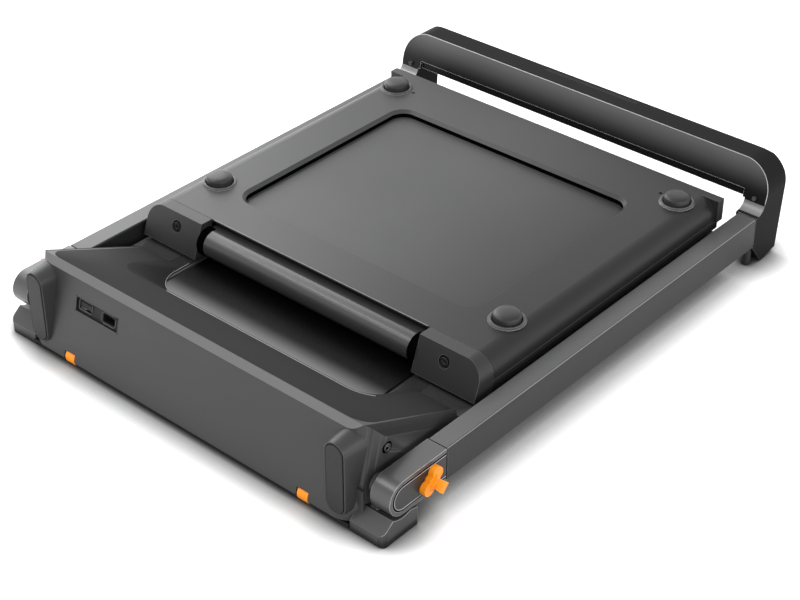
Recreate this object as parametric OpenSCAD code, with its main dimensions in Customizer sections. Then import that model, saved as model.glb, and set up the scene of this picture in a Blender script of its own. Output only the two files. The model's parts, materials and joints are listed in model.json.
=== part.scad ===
// Folded walking pad with a fold-down handlebar.
// X runs across the pad, Y from the motor housing to the crossbar, Z up.
// The origin is on the floor, at the middle of the folded pad.

/* [Whole pad] */
// Length of the folded pad along Y
pad_len = 926; // [900:1:960]
// Width over the two posts
pad_w = 720; // [700:1:760]
// Width of a post and its knuckle in X
post_w = 32; // [26:1:34]
// Height of a post in Z
post_h = 52; // [44:1:56]
// Height of the posts' underside above the floor
post_z = 36; // [34:1:40]
// Wall of the post tubes
post_wall = 2.5; // [1.5:0.1:3]

/* [Decks] */
// Gap between the decks and the posts
deck_gap = 11; // [10:1:20]
// Thickness of each half of the deck
deck_t = 52; // [50:1:56]
// Gap between the two walking surfaces when folded
fold_gap = 8.5; // [6:0.5:10]
// Height of the rubber feet
foot_h = 14; // [12:1:16]
// Distance of the decks' far end from the far end of the pad
deck_end_in = 115; // [111:1:125]
// Distance of the upper deck's tray from the front of the pad
rear_tray_in = 271.3; // [268:0.1:300]
// Radius of the long edges on the underside
edge_r = 28; // [10:1:29]
// Wall of the trays and rails
tray_wall = 3; // [2:0.5:3]
// Thickness of the running boards
board_t = 15; // [12:1:16]
// Distance of the walking belt's edges from the decks' sides
belt_side = 111; // [109:1:120]
// Thickness of the walking belt
belt_t = 2; // [1:0.1:2.2]
// Radius of the rollers
roller_r = 18.7; // [16:0.1:18.8]
// Gap between a roller and the belt
roller_gap = 0.3; // [0.2:0.05:0.5]
// Distance of the front roller from the front of the pad
roller_in = 88; // [86:1:90]

/* [Underside recess] */
// Distance of the recess from the sides of the upper deck
recess_side = 88.5; // [80:0.5:120]
// Distance of the recess from the near edge of the upper deck's tray
recess_near = 64.7; // [60:0.1:90]
// Distance of the recess from the decks' far end
recess_end = 96; // [90:1:110]
// Depth of the recess
recess_d = 12; // [4:0.5:12]
// Corner radius of the recess
recess_r = 30; // [20:1:60]

/* [Feet] */
// Diameter of a rubber foot
foot_dia = 40; // [30:1:42]
// Outer diameter of the seat ring round a foot
ring_dia = 48; // [46:1:52]
// Height of a seat ring
ring_h = 3; // [2:0.5:5]
// Distance of the feet from the decks' sides
foot_side = 42; // [38:1:46]
// Distance of the far feet from the decks' far end
foot_end = 55; // [52:1:58]
// Distance of the near feet from the near edge of the upper deck's tray
foot_near = 80.7; // [78:0.1:90]

/* [Fold hinge] */
// Distance of the lower pin from the decks' far end
low_pin_in = 18; // [17:0.5:19]
// Height of the lower pin above the floor
low_pin_z = 48; // [47:0.5:50]
// Distance of the upper pin from the decks' far end
high_pin_in = 9; // [8:0.5:10]
// Height of the upper pin above the floor
high_pin_z = 88; // [87:0.5:90]
// Radius of the hinge pins
pin_r = 4; // [3:0.25:5]
// Radius of a link's round ends
link_r = 8; // [7:0.5:8.5]
// Thickness of a link
link_t = 8; // [6:0.5:9]
// Step in from a link's eyes to the sides of its bar
link_waist = 1.5; // [1:0.5:3]
// Distance of the links from the decks' sides
link_side = 17; // [16:0.5:19]
// Radial clearance of the turning pins and shafts
fit = 0.05; // [0.02:0.01:0.1]

/* [Motor housing] */
// Height of the housing's front face
hood_front_h = 137; // [130:1:140]
// Height of the housing at its highest edge
hood_top = 145.7; // [143:0.1:150]
// Wall of the housing
hood_wall = 3; // [2:0.5:3.5]
// Distance of the opening above the belt from the decks' sides
mouth_side = 77; // [67:1:92]
// Distance of the opening from the front of the pad
mouth_y = 113; // [105:1:120]
// Corner radius of the opening
mouth_r = 38; // [10:1:60]
// Radius of the motor
motor_r = 29; // [22:0.5:29]
// Length of the motor
motor_len = 140; // [100:1:150]
// Radius of the motor's pulley
motor_pulley_r = 10; // [8:0.5:12]
// Radius of the roller's pulley
roller_pulley_r = 26; // [20:0.5:26]
// Thickness of the drive belt
drive_t = 2.5; // [1.5:0.1:3]
// Width of the drive belt
drive_w = 12; // [8:0.5:13]

/* [Bumpers] */
// Width of a bumper
bumper_w = 28; // [22:1:30]
// Distance of the bumpers from the decks' sides
bumper_side = 33; // [30:1:36]
// Height of the bumpers' lower end
bumper_z0 = 22; // [20:1:30]
// Height of the bumpers' upper end
bumper_z1 = 129; // [120:1:131]
// Thickness of the rubber pads
bumper_t = 4; // [3:0.5:6]

/* [Power panel] */
// Distance of the power panel from the left side of the decks
panel_side = 95; // [91:1:102]
// Height of the power panel's lower edge
panel_z = 89; // [80:1:95]
// Width of the power panel
panel_w = 88; // [84:1:95]
// Height of the power panel along the face
panel_h = 25; // [24:1:30]
// Depth of the power panel below the face
panel_d = 3; // [2:0.5:4]
// Distance of the rocker from the panel's left and lower edges
rocker_in = 7; // [6:0.5:8]
// Width of the rocker
rocker_w = 24; // [18:1:26]
// Height of the rocker
rocker_h = 13; // [10:0.5:14]
// Gap between the rocker and the power inlet
inlet_gap = 22; // [14:1:24]
// Distance of the power inlet from the panel's lower edge
inlet_in = 5; // [4:0.5:6]
// Width of the power inlet
inlet_w = 26; // [20:1:28]
// Height of the power inlet
inlet_h = 15; // [12:0.5:16]

/* [Transport wheels] */
// Radius of a transport wheel
wheel_r = 12; // [10.5:0.5:13]
// Width of a transport wheel
wheel_w = 18; // [14:1:24]
// Distance of the wheels from the decks' sides
wheel_side = 92; // [88:1:100]
// Gap between a wheel and the floor
wheel_gap = 1.5; // [1:0.5:4]

/* [Handlebar] */
// Distance of the handlebar's pivot from the front of the pad
pivot_in = 43; // [40:1:46]
// Length of a knuckle's straight part
knuckle_len = 82; // [76:1:90]
// Radius of the pivot bolts
bolt_r = 6; // [5:0.5:8]
// Height of the crossbar's top
bar_top = 163; // [158:1:170]
// Height of the crossbar's underside
bar_under = 103; // [101:1:106]
// Outer corner radius of the handle
bar_r = 48; // [30:1:55]
// Wall of the handle's shell
bar_wall = 3; // [2:0.5:3.5]
// Lean of the handle's front face, as a share of its height
bar_lean = 0.24; // [0.2:0.01:0.26]
// Distance of the posts' far ends from the far end of the pad
post_end_in = 79.5; // [78:0.5:82]
// Distance of the speed dial from the handle's right side
dial_in = 120; // [90:1:200]
// Diameter of the speed dial
dial_dia = 26; // [16:1:27]
// Height of the speed dial
dial_h = 7; // [4:0.5:8]

/* [Locking knobs] */
// Distance of a locking knob from the handlebar's pivot
knob_in = 47; // [44:1:52]
// Thickness of a knob's lobes
knob_t = 9; // [6:0.5:12]
// Distance from a lobe's centre to the knob's axis
lobe_reach = 11.5; // [8:0.5:12]
// Radius of a lobe
lobe_r = 9.5; // [7:0.5:10]
// Length of the grip fin
fin_len = 17; // [10:1:22]

/* [Hidden] */
$fn = 64;

// A hair of clearance between moulded pieces, and the overshoot of a cut.
seam = 0.3;
over = 1;

// Main planes.
front_y = -pad_len / 2;
back_y = pad_len / 2;
end_y = back_y - deck_end_in;
post_x1 = pad_w / 2;
post_x0 = post_x1 - post_w;
half_w = post_x0 - deck_gap;
rear_tray_y = front_y + rear_tray_in;
low_top = foot_h + deck_t;
high_base = low_top + fold_gap;
high_top = high_base + deck_t;

// Layers of a deck, as depths below its walking surface.
board_d = belt_t + board_t;
cross_d = board_d + 14;
return_d = cross_d + 2;
side_member_d = board_d + 19.5;
rail_split_d = 15.5;
tray_split_d = rail_split_d + 0.5;
tray_in_d = deck_t - tray_wall;
roller_d = roller_r + roller_gap + belt_t;
belt_end = end_y - 9;
belt_x = half_w - belt_side;
rail_x0 = belt_x + 4;
board_x = belt_x + 30;
board_end = end_y - 12;

// Frame members.
member_x0 = belt_x + 6;
member_x1 = member_x0 + 30;
frame_x = half_w - 9;
member_w = 24;
boss_r = 14;
foot_y1 = end_y - foot_end;
foot_y0 = rear_tray_y + foot_near;
foot_x = half_w - foot_side;

// Front roller and its drive.
front_roller_y = front_y + roller_in;
front_deck_y = front_y + 118;
front_roller_z = low_top - roller_d;
journal_r = 5;
bearing_r = 11;
pulley_x0 = member_x1 + 5;
pulley_w = drive_w + 3;
motor_y = front_y + 59;
motor_z = 97;
motor_x1 = member_x0 - 12;
motor_x0 = motor_x1 - motor_len;
shaft_r = 5;

// Rear roller, on its fixed axle.
rear_roller_y = rear_tray_y - 12.3;
bracket_x0 = belt_x + 2.4;
bracket_y = rear_tray_y - 20.8;
bracket_foot_y = bracket_y - 18.5;
axle_r = 5;
tension_x = half_w - 61.3;
axle_x = tension_x - 15.7;
tension_d = 32.5;

// Fold hinge.
low_pin_y = end_y - low_pin_in;
high_pin_y = end_y - high_pin_in;
slot_y = low_pin_y - link_r - 1.5;
link_x0 = half_w - link_side - link_t / 2;
slot_x0 = link_x0 - 0.5;
slot_x1 = slot_x0 + link_t + 1;
block_x0 = link_x0 - 11;
block_x1 = half_w - 4.5;
block_y0 = foot_y1 + member_w / 2;
block_y1 = end_y - 0.5;

// Motor housing.
face_lean = 0.23;
face_z = 12;
face_y = front_y + 1;
face_top_y = face_y + face_lean * (hood_front_h - face_z);
crest_y = face_top_y + hood_top - hood_front_h;
plate_slope = 0.445;
plate_end_y = front_y + 223;
hood_x = half_w - 1;
hood_flat_x = hood_x - 16;
hood_corner_r = 38;
hood_low = 17;
tongue_y = rear_tray_y - 36.3;
nose_x = hood_x - 20;
mouth_x = half_w - mouth_side;
bumper_x = half_w - bumper_side;
panel_x0 = panel_side - half_w;
inlet_x = rocker_in + rocker_w + inlet_gap;
wheel_x = half_w - wheel_side;
wheel_y = front_y + wheel_r + 1.5;
wheel_z = wheel_r + wheel_gap;
slot_top = wheel_z + wheel_r - 1.5;
wheel_pin_r = 4;
lip_z = 3;
cover_screw_x = nose_x - 10;
cover_screw_ys = [front_y + 20, front_deck_y - 12];
screw_r = 1.6;
face_angle = atan(face_lean);
catch_y = front_y + 63;
catch_z = 105;
catch_r = 9;

// Handlebar.
pivot_y = front_y + pivot_in;
pivot_z = post_z + post_h / 2;
knuckle_r = post_h / 2;
post_y0 = pivot_y + knuckle_len + 2;
post_y1 = back_y - post_end_in;
leg_y = post_y1 + 1;
leg_x0 = post_x0 - 3.5;
cheek_x0 = hood_x + seam;
cheek_x1 = post_x0 - 1;
cap_t = 2.4;
knob_y = pivot_y + knob_in;
console_x = leg_x0 - 6.5;
dial_x = post_x1 - dial_in;
lens_x = 60;
shoe_y0 = front_y + 5;
shoe_y1 = pivot_y + 28;
shoe_x0 = nose_x + 8;
shoe_face_z = 18;
cradle_r = knuckle_r + 7;
cradle_y = pivot_y - 18;
cradle_z = pivot_z - sqrt(pow(cradle_r, 2) - pow(cradle_y - pivot_y, 2));
cheek_r = 15;

// Rubber, plastic and metal colours.
graphite = [0.2, 0.2, 0.21];
dark = [0.11, 0.11, 0.12];
black = [0.05, 0.05, 0.05];
steel = [0.6, 0.6, 0.62];
gunmetal = [0.38, 0.38, 0.4];
orange = [0.95, 0.55, 0.08];

// A box between two limits on each axis.
module block(x0, x1, y0, y1, z0, z1) {
    translate([x0, y0, z0]) cube([x1 - x0, y1 - y0, z1 - z0]);
}

// A rod along X.
module rod_x(r, x0, x1, y, z) {
    translate([x0, y, z]) rotate([0, 90, 0]) cylinder(r = r, h = x1 - x0);
}

// A rod along Y.
module rod_y(r, y0, y1, x, z) {
    translate([x, y1, z]) rotate([90, 0, 0]) cylinder(r = r, h = y1 - y0);
}

// A rod along Z.
module rod_z(r, z0, z1, x, y) {
    translate([x, y, z0]) cylinder(r = r, h = z1 - z0);
}

// A side view, drawn as Y and Z, carried across X.
module across(x0, x1) {
    translate([x0, 0, 0]) rotate([90, 0, 90]) linear_extrude(x1 - x0) children();
}

// A front view, drawn as X and Z, carried along Y.
module along(y0, y1) {
    translate([0, y1, 0]) rotate([90, 0, 0]) linear_extrude(y1 - y0) children();
}

module both_sides() {
    children();
    mirror([1, 0, 0]) children();
}

module left() {
    mirror([1, 0, 0]) children();
}

// A rounded rectangle between two corners.
module round_rect(x0, x1, y0, y1, r) {
    translate([x0 + r, y0]) square([x1 - x0 - 2 * r, y1 - y0]);
    translate([x0, y0 + r]) square([x1 - x0, y1 - y0 - 2 * r]);
    for (x = [x0 + r, x1 - r], y = [y0 + r, y1 - r]) translate([x, y]) circle(r = r);
}

// The lower deck's walking surface is at Z 0 in its children, and so is the upper deck's.
module in_low_deck() {
    translate([0, 0, low_top]) children();
}

module in_high_deck() {
    translate([0, 0, high_base]) mirror([0, 0, 1]) children();
}

// Deck pieces, drawn with the walking surface at Z 0 and the underside below it.
module deck_outline(w, bottom, r, top) {
    difference() {
        union() {
            translate([-w, r - bottom]) square([2 * w, bottom - r - top]);
            translate([r - w, -bottom]) square([2 * (w - r), bottom - top]);
            for (x = [r - w, w - r]) translate([x, r - bottom]) circle(r = r);
        }
        translate([-w - over, -top]) square([2 * w + 2 * over, 2 * r]);
    }
}

module tray_section() {
    difference() {
        deck_outline(half_w, deck_t, edge_r, tray_split_d);
        deck_outline(half_w - tray_wall, tray_in_d, edge_r - tray_wall, tray_split_d - over);
    }
}

module tray_shell(y0) {
    difference() {
        union() {
            along(y0, end_y) tray_section();
            block(-block_x0 + seam, block_x0 - seam, end_y - tray_wall, end_y,
                -tray_in_d, -belt_t - 2);
        }
        block(-belt_x - 3, belt_x + 3, end_y - tray_wall - over, end_y + over,
            -return_d - belt_t - 3, -return_d + 3);
    }
}

module rail(y0) {
    difference() {
        along(y0, end_y - 3) polygon([
            [rail_x0, 0], [half_w, 0], [half_w, -rail_split_d], [half_w - tray_wall, -rail_split_d],
            [half_w - tray_wall, -belt_t], [board_x + 11, -belt_t], [board_x + 11, -board_d],
            [board_x + 8, -board_d], [board_x + 8, -belt_t], [rail_x0, -belt_t]]);
        block(slot_x0 - over, slot_x1 + over, slot_y, end_y, -board_d - over, over);
    }
}

module board(y0) {
    block(-board_x, board_x, y0, board_end, -board_d, -belt_t);
}

// The belt's walking run, its turn round the roller and its return run.
function turn_points(roller_y, r, from, step) =
    [for (k = [0 : 24]) let (a = from + k * step) [roller_y + r * cos(a), r * sin(a) - roller_d]];

module belt(roller_y) {
    slope_y = roller_y + 66;
    across(-belt_x, belt_x) polygon(concat(
        [[belt_end, 0]],
        turn_points(roller_y, roller_d, 90, 7.5),
        [[slope_y, -return_d - belt_t], [belt_end, -return_d - belt_t],
            [belt_end, -return_d], [slope_y, -return_d]],
        turn_points(roller_y, roller_d - belt_t, 270, -7.5),
        [[belt_end, -belt_t]]));
}

// Side members and cross members under a board, with bosses down to the tray at the feet.
module deck_frame(y0, cross_ys) {
    both_sides() block(member_x0, member_x1, y0, board_end, -side_member_d, -board_d);
    for (y = cross_ys)
        block(-member_x1, member_x1, y - member_w / 2, y + member_w / 2, -cross_d, -board_d);
    for (y = [foot_y0, foot_y1]) {
        block(-frame_x, frame_x, y - member_w / 2, y + member_w / 2, -cross_d, -board_d);
        both_sides() rod_z(boss_r, -tray_in_d, -cross_d + over, foot_x, y);
    }
}

module feet_at(z0, z1, r) {
    bevel = 4;
    for (y = [foot_y0, foot_y1]) both_sides() translate([foot_x, y, z0]) {
        cylinder(r = r, h = z1 - z0 - bevel);
        translate([0, 0, z1 - z0 - bevel]) cylinder(r1 = r, r2 = r - bevel, h = bevel);
    }
}

module front_tray() {
    color(dark) difference() {
        union() {
            in_low_deck() tray_shell(front_deck_y);
            block(-nose_x, nose_x, front_y + 11, front_deck_y + over, foot_h, hood_low);
            across(seam - shoe_x0, shoe_x0 - seam) front_lip();
            both_sides() for (x = [wheel_x - wheel_w / 2 - 5, wheel_x + wheel_w / 2 + 2])
                block(x, x + 3, wheel_y - 5.5, wheel_y + 14, lip_z + 1, wheel_z + 8);
        }
        both_sides() block(wheel_x - wheel_w / 2 - 2, wheel_x + wheel_w / 2 + 2,
            front_y, wheel_y + wheel_r + 3, 0, hood_low + over);
        both_sides() rod_x(wheel_pin_r, wheel_x - wheel_w, wheel_x + wheel_w, wheel_y, wheel_z);
        both_sides() for (y = cover_screw_ys)
            rod_z(screw_r, foot_h - over, hood_low + over, cover_screw_x, y);
    }
}

// The rounded lip under the housing's face, which closes the front down to just above the floor.
module front_lip() {
    lip_r = face_z - lip_z;
    rib_in = 13;
    y = front_y + 2;
    difference() {
        union() {
            translate([y + lip_r, face_z]) circle(r = lip_r);
            translate([y + lip_r, lip_z]) square([rib_in + tray_wall, lip_r]);
            translate([y + lip_r + rib_in, lip_z]) square([tray_wall, foot_h - lip_z + over]);
        }
        translate([y + lip_r, face_z]) circle(r = lip_r - tray_wall);
        translate([y, face_z]) square([lip_r + rib_in, lip_r + over]);
        translate([y + lip_r, lip_z + tray_wall]) square([rib_in, lip_r]);
    }
}

module front_frame() {
    arm_y = front_y + 30;
    color(gunmetal) difference() {
        in_low_deck() deck_frame(arm_y, [front_roller_y + 50]);
        both_sides() rod_x(bearing_r, member_x0 - over, member_x1 + over, front_roller_y, front_roller_z);
        both_sides() block(member_x0 - over, member_x1 + over, front_roller_y - 3, front_roller_y + 3,
            front_roller_z, low_top - board_d + over);
    }
}

module front_board() {
    color([0.45, 0.36, 0.26]) in_low_deck() board(front_deck_y);
}

module front_belt() {
    color(black) in_low_deck() belt(front_roller_y);
}

module front_rail_right() {
    color(graphite) in_low_deck() rail(front_deck_y);
}

module front_rail_left() {
    color(graphite) left() in_low_deck() rail(front_deck_y);
}

module front_feet() {
    color(black) translate([0, 0, foot_h]) mirror([0, 0, 1]) feet_at(0, foot_h, foot_dia / 2);
}

module front_roller() {
    color(steel) {
        rod_x(roller_r, -belt_x + 2, belt_x - 2, front_roller_y, front_roller_z);
        rod_x(journal_r, -member_x1 + 4, pulley_x0 + pulley_w + 2, front_roller_y, front_roller_z);
    }
}

module roller_bearings() {
    color(steel) both_sides() difference() {
        rod_x(bearing_r - 0.02, member_x0 + 10, member_x0 + 20, front_roller_y, front_roller_z);
        rod_x(journal_r + fit, member_x0, member_x1, front_roller_y, front_roller_z);
    }
}

// A flanged pulley on a shaft of the given radius.
module pulley(r, bore, y, z) {
    difference() {
        union() {
            rod_x(r, pulley_x0, pulley_x0 + pulley_w, y, z);
            rod_x(r + 1.5, pulley_x0, pulley_x0 + 1.2, y, z);
            rod_x(r + 1.5, pulley_x0 + pulley_w - 1.2, pulley_x0 + pulley_w, y, z);
        }
        rod_x(bore, pulley_x0 - over, pulley_x0 + pulley_w + over, y, z);
    }
}

module roller_pulley() {
    color(gunmetal) pulley(roller_pulley_r - drive_t, journal_r, front_roller_y, front_roller_z);
}

module motor_pulley() {
    color(steel) {
        pulley(motor_pulley_r, shaft_r - 1, motor_y, motor_z);
        rod_x(shaft_r, motor_x1 + seam, pulley_x0 + 1, motor_y, motor_z);
        rod_x(shaft_r - 1, pulley_x0, pulley_x0 + pulley_w, motor_y, motor_z);
    }
}

// The drive belt is the outline round both pulleys less the same outline on its inner side.
module drive_outline(extra) {
    hull() {
        translate([motor_y, motor_z]) circle(r = motor_pulley_r + seam + extra);
        translate([front_roller_y, front_roller_z]) circle(r = roller_pulley_r - drive_t + seam + extra);
    }
}

module drive_belt() {
    x0 = pulley_x0 + (pulley_w - drive_w) / 2 + 0.2;
    color(black) across(x0, x0 + drive_w - 0.4) difference() {
        drive_outline(drive_t - 2 * seam);
        drive_outline(0);
    }
}

module motor_body() {
    color(graphite) difference() {
        union() {
            rod_x(motor_r, motor_x0, motor_x1, motor_y, motor_z);
            rod_x(motor_r * 0.6, motor_x0 - 8, motor_x0, motor_y, motor_z);
        }
        for (x = [motor_x0 + 30 : 12 : motor_x1 - 30]) difference() {
            rod_x(motor_r + over, x, x + 4, motor_y, motor_z);
            rod_x(motor_r - 2, x - over, x + 4 + over, motor_y, motor_z);
        }
    }
}

// Two plates from the nose up to rings round the motor.
module motor_mount() {
    foot_y_front = front_y + 23;
    ring = motor_r + 2.5;
    color(gunmetal) for (x = [motor_x0 + 15, motor_x1 - 19]) difference() {
        across(x, x + 4) {
            translate([motor_y, motor_z]) circle(r = ring);
            translate([foot_y_front, hood_low]) square([38, motor_z - motor_r - hood_low + 12]);
        }
        rod_x(motor_r, x - over, x + 5, motor_y, motor_z);
    }
}

module control_board() {
    board_y0 = front_y + 14;
    board_y1 = front_y + 60;
    pcb_x0 = wheel_w / 2 + 23 - wheel_x;
    pcb_len = motor_x0 - 90 - pcb_x0;
    pcb_t = 1.6;
    pcb_z = 24;
    sink = 0.1;
    part_z = pcb_z + pcb_t - sink;
    color([0.1, 0.3, 0.15]) translate([pcb_x0, 0, 0]) {
        block(0, pcb_len, board_y0, board_y1, pcb_z, pcb_z + pcb_t);
        for (x = [6, pcb_len - 10]) for (y = [board_y0 + 6, board_y1 - 6])
            rod_z(3, hood_low, pcb_z + 0.5, x, y);
        block(0.06 * pcb_len, 0.44 * pcb_len, board_y0 + 8, board_y1 - 10, part_z, part_z + 24.5);
        for (share = [0.53, 0.69]) rod_z(9, part_z, part_z + 29.5, share * pcb_len, board_y0 + 22);
        block(0.775 * pcb_len, 0.925 * pcb_len, board_y0 + 14, board_y1 - 12, part_z, part_z + 10.5);
    }
}

function face_at(z) = face_y + face_lean * (z - face_z);
function plate_at(y) = hood_top - plate_slope * (y - crest_y);

// The housing's side view, drawn in by the given wall.
function hood_side(wall) = [
    [face_at(face_z) + 1.03 * wall, face_z],
    [face_at(hood_front_h - 0.4 * wall) + 1.03 * wall, hood_front_h - 0.4 * wall],
    [crest_y + 0.6 * wall, plate_at(crest_y + 0.6 * wall) - 1.09 * wall],
    [plate_end_y, plate_at(plate_end_y) - 1.09 * wall],
    [plate_end_y, face_z]];

// Slices of the side view, drawn in step by step, round the housing's two long ends.
module hood_slices(wall) {
    round_r = hood_x - hood_flat_x;
    hull() for (side = [-1, 1], a = [0 : 18 : 90]) {
        x = hood_flat_x + (round_r - wall) * sin(a);
        across(side > 0 ? x - 0.01 : -x, side > 0 ? x : 0.01 - x)
            polygon(hood_side(wall + (round_r - wall) * (1 - cos(a))));
    }
}

// The slices inside a leaning outline with rounded corners, which rounds the face's two ends.
module hood_body(wall) {
    x = hood_x - wall;
    intersection() {
        hood_slices(wall);
        translate([0, face_y, face_z]) rotate([-face_angle, 0, 0]) translate([0, 0, -face_z])
            linear_extrude(2 * hood_top) round_rect(-x, x, wall, pad_len, hood_corner_r - wall);
    }
}

// The opening above the belt, seen from above and open to the rear.
module mouth(extra) {
    x = mouth_x + extra;
    y = front_y + mouth_y - extra;
    r = mouth_r + extra;
    translate([-x, y + r]) square([2 * x, pad_len / 2]);
    translate([r - x, y]) square([2 * (x - r), pad_len / 2]);
    for (side = [-1, 1]) translate([side * (x - r), y + r]) circle(r = r);
}

module bumper_outline(extra) {
    r = bumper_w / 2 + extra;
    low = bumper_z0 + bumper_w / 2;
    high = bumper_z1 - bumper_w / 2;
    translate([bumper_x - r, low]) square([2 * r, high - low]);
    for (z = [low, high]) translate([bumper_x, z]) circle(r = r);
}

module motor_cover() {
    sill = low_top + 0.2;
    boss_top = low_top - 6;
    screw_top = hood_low + 23;
    color(graphite) difference() {
        union() {
            difference() {
                union() {
                    hood_body(0);
                    block(2 - hood_x, hood_x - 2, tongue_y - 28, tongue_y, sill, low_top + 1.8);
                    both_sides() along(front_y + bumper_t, face_top_y + 14) bumper_outline(2);
                }
                hood_body(hood_wall);
                translate([0, 0, low_top - over]) linear_extrude(hood_top) mouth(0);
            }
            intersection() {
                hood_body(0.5);
                translate([0, 0, sill]) linear_extrude(hood_top) difference() {
                    mouth(hood_wall);
                    mouth(0);
                }
            }
            both_sides() for (y = cover_screw_ys) {
                rod_z(5, hood_low, boss_top, cover_screw_x, y);
                block(cover_screw_x, hood_x - 1, y - 1.5, y + 1.5, hood_low, boss_top);
            }
        }
        both_sides() along(front_y - over, front_y + bumper_t) bumper_outline(0.2);
        block(-pad_w, pad_w, front_deck_y - 1, back_y, 0, sill);
        block(-pad_w, pad_w, front_y, back_y, 0, face_z + 0.5);
        both_sides() for (y = cover_screw_ys)
            rod_z(screw_r, hood_low - over, screw_top, cover_screw_x, y);
        both_sides() block(wheel_x - wheel_w / 2 - 2, wheel_x + wheel_w / 2 + 2,
            front_y - over, wheel_y, 0, slot_top);
        both_sides() across(shoe_x0 - seam, hood_x + over) shoe_seat();
        both_sides() rod_x(bolt_r + 1, hood_x - 12, hood_x + over, pivot_y, pivot_z);
        both_sides() rod_x(bolt_r + 4 + seam, hood_x - 15, hood_x - 8 + seam, pivot_y, pivot_z);
        on_face() block(0, panel_w, -over, hood_wall + over, 0, panel_h);
        rod_x(catch_r, hood_x - 5, hood_x + over, catch_y, catch_z);
    }
}

// Children drawn with X along the power panel, Y into the housing and Z up the leaning face.
module on_face() {
    translate([panel_x0, face_at(panel_z), panel_z]) rotate([-face_angle, 0, 0]) children();
}

module bumpers() {
    color(black) both_sides() along(front_y, front_y + bumper_t) bumper_outline(0);
}

// A shallow tray in the front face, with openings for the rocker and the inlet.
module power_panel() {
    lip = 2;
    color(dark) on_face() difference() {
        block(seam, panel_w - seam, 0, panel_d + lip, seam, panel_h - seam);
        block(lip, panel_w - lip, -over, panel_d, lip, panel_h - lip);
        block(rocker_in, rocker_in + rocker_w, 0, panel_d + lip + over, rocker_in, rocker_in + rocker_h);
        block(inlet_x, inlet_x + inlet_w, 0, panel_d + lip + over, inlet_in, inlet_in + inlet_h);
    }
}

// The rocker turns about an axis along X, through the middle of its height.
module power_rocker() {
    clear = 0.5;
    r = rocker_h / 2 - clear;
    axis_d = panel_d + 5;
    axis_z = rocker_in + rocker_h / 2;
    flat_in = 1.4;
    tilt = 7;
    color(black) on_face() difference() {
        rod_x(r, rocker_in + clear, rocker_in + rocker_w - clear, axis_d, axis_z);
        translate([0, axis_d, axis_z]) rotate([tilt, 0, 0])
            block(0, rocker_in + rocker_w, -2 * r, flat_in - r, -2 * r, 2 * r);
    }
}

module power_inlet() {
    clear = 0.2;
    wall = 1.5;
    floor_d = panel_d + 16;
    pin_pitch = 6;
    x0 = inlet_x + clear;
    x1 = inlet_x + inlet_w - clear;
    z0 = inlet_in + clear;
    z1 = inlet_in + inlet_h - clear;
    mid_x = (x0 + x1) / 2;
    mid_z = (z0 + z1) / 2;
    color(black) on_face() difference() {
        block(x0, x1, panel_d, floor_d + 4, z0, z1);
        block(x0 + wall, x1 - wall, panel_d - over, floor_d, z0 + wall, z1 - wall);
    }
    color(steel) on_face() for (k = [-pin_pitch, 0, pin_pitch])
        block(mid_x + k - 0.6, mid_x + k + 0.6, panel_d + 6, floor_d, mid_z - 2, mid_z + 2);
}

module wheel() {
    color(orange) difference() {
        union() {
            rod_x(wheel_r, wheel_x - wheel_w / 2, wheel_x + wheel_w / 2, wheel_y, wheel_z);
            rod_x(7, wheel_x - wheel_w / 2 - 1, wheel_x + wheel_w / 2 + 1, wheel_y, wheel_z);
        }
        rod_x(wheel_pin_r + fit, wheel_x - wheel_w, wheel_x + wheel_w, wheel_y, wheel_z);
    }
}

module wheel_right() {
    wheel();
}

module wheel_left() {
    left() wheel();
}

module wheel_axles() {
    color(steel) both_sides() rod_x(wheel_pin_r, wheel_x - wheel_w / 2 - 5, wheel_x + wheel_w / 2 + 5,
        wheel_y, wheel_z);
}

// A shoe stands on the floor under each knuckle, and its cheek carries the pivot bolt.
module shoe_side() {
    difference() {
        polygon([[shoe_y0, 3], [shoe_y0 + 3, 0], [shoe_y1, 0], [shoe_y1, pivot_z - cradle_r],
            [pivot_y, cradle_z], [cradle_y, cradle_z], [shoe_y0, shoe_face_z]]);
        translate([pivot_y, pivot_z]) circle(r = cradle_r);
    }
}

// The room that a shoe takes under the housing's side.
module shoe_seat() {
    polygon([[front_y - over, -over], [front_y - over, shoe_face_z], [shoe_y0, shoe_face_z + seam],
        [cradle_y, cradle_z + seam], [shoe_y1 + seam, cradle_z + seam], [shoe_y1 + seam, -over]]);
}

module base_shoes() {
    corner = 9;
    arm = 12;
    color(gunmetal) both_sides() difference() {
        union() {
            intersection() {
                across(shoe_x0, post_x1 - 1) shoe_side();
                linear_extrude(post_z) round_rect(0, post_x1 - 1, shoe_y0, back_y, corner);
            }
            rod_x(cheek_r, cheek_x0, cheek_x1, pivot_y, pivot_z);
            block(cheek_x0, cheek_x1, pivot_y - arm, pivot_y + arm, pivot_z - cradle_r - 2, pivot_z);
        }
        rod_x(bolt_r, cheek_x0 - over, cheek_x1 + over, pivot_y, pivot_z);
    }
}

module pivot_bolts() {
    color(steel) both_sides() {
        rod_x(bolt_r, hood_x - 14, post_x1 - 6, pivot_y, pivot_z);
        rod_x(bolt_r + 4, hood_x - 14, hood_x - 8, pivot_y, pivot_z);
    }
}

// A cord ring on a small plug in the housing's right side, with its screw.
module side_catch() {
    color(gunmetal) {
        rod_x(catch_r - 0.2, hood_x - 4.8, hood_x - 3, catch_y, catch_z);
        rod_x(2, hood_x - 4, hood_x + 1.5, catch_y, catch_z + 4.5);
        translate([hood_x, catch_y, catch_z]) rotate([0, 90, 0]) rotate_extrude()
            translate([4.5, 0]) circle(r = 1.1);
    }
}

module cover_screws() {
    color(steel) both_sides() for (y = cover_screw_ys) {
        rod_z(screw_r, foot_h, hood_low + 18, cover_screw_x, y);
        rod_z(3.5, foot_h - 2, foot_h, cover_screw_x, y);
    }
}

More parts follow.
